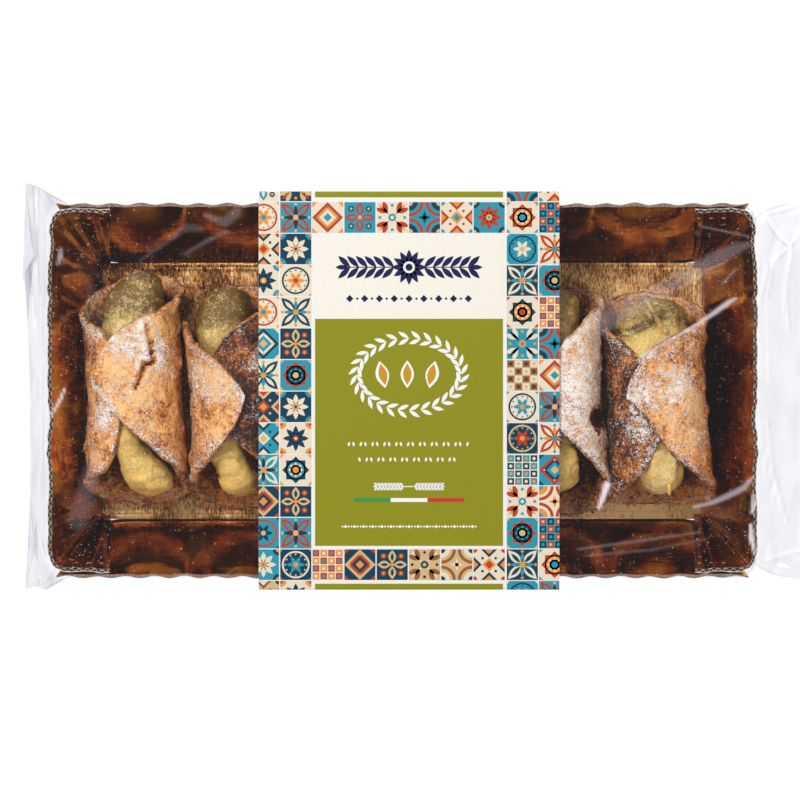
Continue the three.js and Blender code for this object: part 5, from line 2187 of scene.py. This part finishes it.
@dataclass(frozen=True)
class Softbox:
    """A square lamp that looks at the pack."""

    name: str
    azimuth: float  # degrees from +X, anticlockwise from above
    off_zenith: float
    side: float  # in metres, like its distance
    power: float  # in watts
    colour: str = "#ffffff"
    distance: float = 1.3

    def place(self) -> None:
        """Put the lamp into the scene."""
        lamp = bpy.data.lights.new(self.name, "AREA")
        lamp.shape = "RECTANGLE"
        lamp.size = lamp.size_y = self.side
        lamp.energy = self.power
        lamp.color = linear(self.colour)[:3]
        turn, tilt = math.radians(self.azimuth), math.radians(self.off_zenith)
        direction = Vector((math.sin(tilt) * math.cos(turn), math.sin(tilt) * math.sin(turn), math.cos(tilt)))
        obj = bpy.data.objects.new(self.name, lamp)
        obj.location = direction * self.distance
        obj.rotation_euler = direction.to_track_quat("Z", "Y").to_euler()
        bpy.context.scene.collection.objects.link(obj)


@dataclass
class Studio:
    """A white table, a soft sky that is darker overhead, softboxes and the camera."""

    camera_at: Triple = (-0.85, -3.2, 936.8)
    lens: float = 119.6
    sky_low: float = 0.88
    sky_high: float = 0.26
    table_half: float = 1.6  # in metres, like its depth
    table_depth: float = 0.03
    softboxes: tuple[Softbox, ...] = (
        Softbox("key", 128.0, 34.0, 0.36, 13.4),
        Softbox("fill", -35.0, 50.0, 0.6, 2.4, "#f4f4ff"),
    )

    def table(self) -> None:
        """Build the table top, a little under the pack."""
        corners = [(x * self.table_half, y * self.table_half) for x, y in ((-1, -1), (1, -1), (1, 1), (-1, 1))]
        points = [(x, y, z) for z in (-self.table_depth, -0.2 * MM) for x, y in corners]
        sides = [[i, (i + 1) % 4, 4 + (i + 1) % 4, 4 + i] for i in range(4)]
        mesh = bpy.data.meshes.new("table_top")
        mesh.from_pydata(points, [], [[3, 2, 1, 0], [4, 5, 6, 7], *sides])
        mesh.update()
        top = bpy.data.objects.new("table_top", mesh)
        bpy.context.scene.collection.objects.link(top)
        graph = Graph(bpy.data.materials.new("white_laminate"))
        place = graph.add("TexCoord").outputs["Object"]
        tooth = graph.add("TexNoise", Vector=place, Scale=per_metre(1.5), Detail=2.0)
        bump = graph.add("Bump", Height=tooth, Strength=0.05, Distance=0.02 * MM)
        # The table is lit from below as well, which keeps it white right up to the pack.
        shader = graph.add(
            "BsdfPrincipled", Base_Color="#606060", Roughness=0.8, Specular_IOR_Level=0.0, Normal=bump,
            Emission_Color="#ffffff", Emission_Strength=1.03,
        )
        mesh.materials.append(graph.close(shader))

    def sky(self) -> None:
        """Light the scene from all round, less from straight above."""
        world = bpy.data.worlds.new("studio_sky")
        bpy.context.scene.world = world
        graph = Graph(world)
        upward = graph.add("SeparateXYZ", Vector=graph.add("TexCoord").outputs["Generated"])
        stops = ((0.0, self.sky_low), (0.72, self.sky_low), (0.93, self.sky_high), (1.0, self.sky_high))
        ramp = [(place, (grey, grey, grey, 1.0)) for place, grey in stops]
        shade = graph.add("ValToRGB", {"ramp": ramp}, Fac=upward.outputs["Z"])
        graph.close(graph.add("Background", Color=shade), "OutputWorld")

    def camera(self) -> None:
        """Put the camera straight above the pack."""
        data = bpy.data.cameras.new("camera")
        data.lens = self.lens
        data.sensor_width = 36.0
        data.clip_start, data.clip_end = 0.05, 20.0
        camera = bpy.data.objects.new("camera", data)
        camera.location = Vector(self.camera_at) * MM
        bpy.context.scene.collection.objects.link(camera)
        bpy.context.scene.camera = camera

    def build(self) -> None:
        """Set the whole studio up."""
        self.table()
        self.sky()
        for softbox in self.softboxes:
            softbox.place()
        self.camera()
        bpy.context.scene.view_settings.view_transform = "Standard"


# ---- The whole pack ----


def floor_places(count: int = 5000) -> tuple[Spots, Spots]:
    """Gather places on the tray's floor for sugar and for crumbs.

    Args:
        count: how many places there are.

    Returns:
        The places for sugar, and those for crumbs.
    """
    rng = np.random.default_rng(5)
    half_x, half_y = 104.0, 43.5  # the floor inside its folds
    x = rng.uniform(-half_x, half_x, count)
    y = rng.uniform(-half_y, half_y, count)
    points = rows(x, y, FLOOR_TOP + 0.15)
    upward = np.tile(np.array([0.0, 0.0, 1.0]), (count, 1))
    heap = np.clip(SmoothNoise(9).at(points, 12.0) + 0.3, 0.02, 1.0)
    outside = np.min([np.hypot((x - roll.x) / 20.0, (y - roll.y) / 40.0) for roll in ROLLS], axis=0)
    near = np.clip(1.35 - np.abs(outside - 1.0), 0.15, 1.0)
    return [(points, upward, heap * near)], [(points, upward, heap**2 * near)]


def main() -> None:
    """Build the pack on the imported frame, dress it and set up the studio."""
    logging.basicConfig(level=logging.INFO, format="%(name)s: %(message)s")
    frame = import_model()
    finishes, lid = Finishes(), Lid()
    tray = FoilTray(finishes)
    pieces = tray.build()
    dusted: Spots = []
    for index, roll in enumerate(ROLLS):
        pieces.append(PastryShell(roll, lid, seed=11 + 7 * index).build(finishes.pastry, dusted))
        pieces.append(CreamFilling(roll, lid, seed=50 + 3 * index).build(finishes.cream, dusted))
    spilt, crumbled = floor_places()
    pieces += [
        LooseGrains("sugar_on_rolls", 10000, 0.16, 0.55, "icing_sugar", 3).build(dusted, finishes.sugar),
        LooseGrains("sugar_on_tray", 2400, 0.16, 0.6, "icing_sugar", 4).build(spilt, finishes.sugar),
        LooseGrains("sugar_on_walls", 3000, 0.18, 0.46, "icing_sugar", 8).build(tray.dust, finishes.sugar),
        LooseGrains("crumbs", 150, 0.5, 2.0, "fried_pastry", 6).build(crumbled, finishes.crumb),
        FilmBag(lid).build(finishes.film),
        PrintedSleeve().build(frame["nodes"]["sleeve"], finishes.card),
    ]
    for piece in pieces:
        LOG.info("%s: %d faces", piece.name, len(piece.data.polygons))
    Studio().build()
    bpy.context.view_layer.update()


if __name__ == "__main__":
    main()
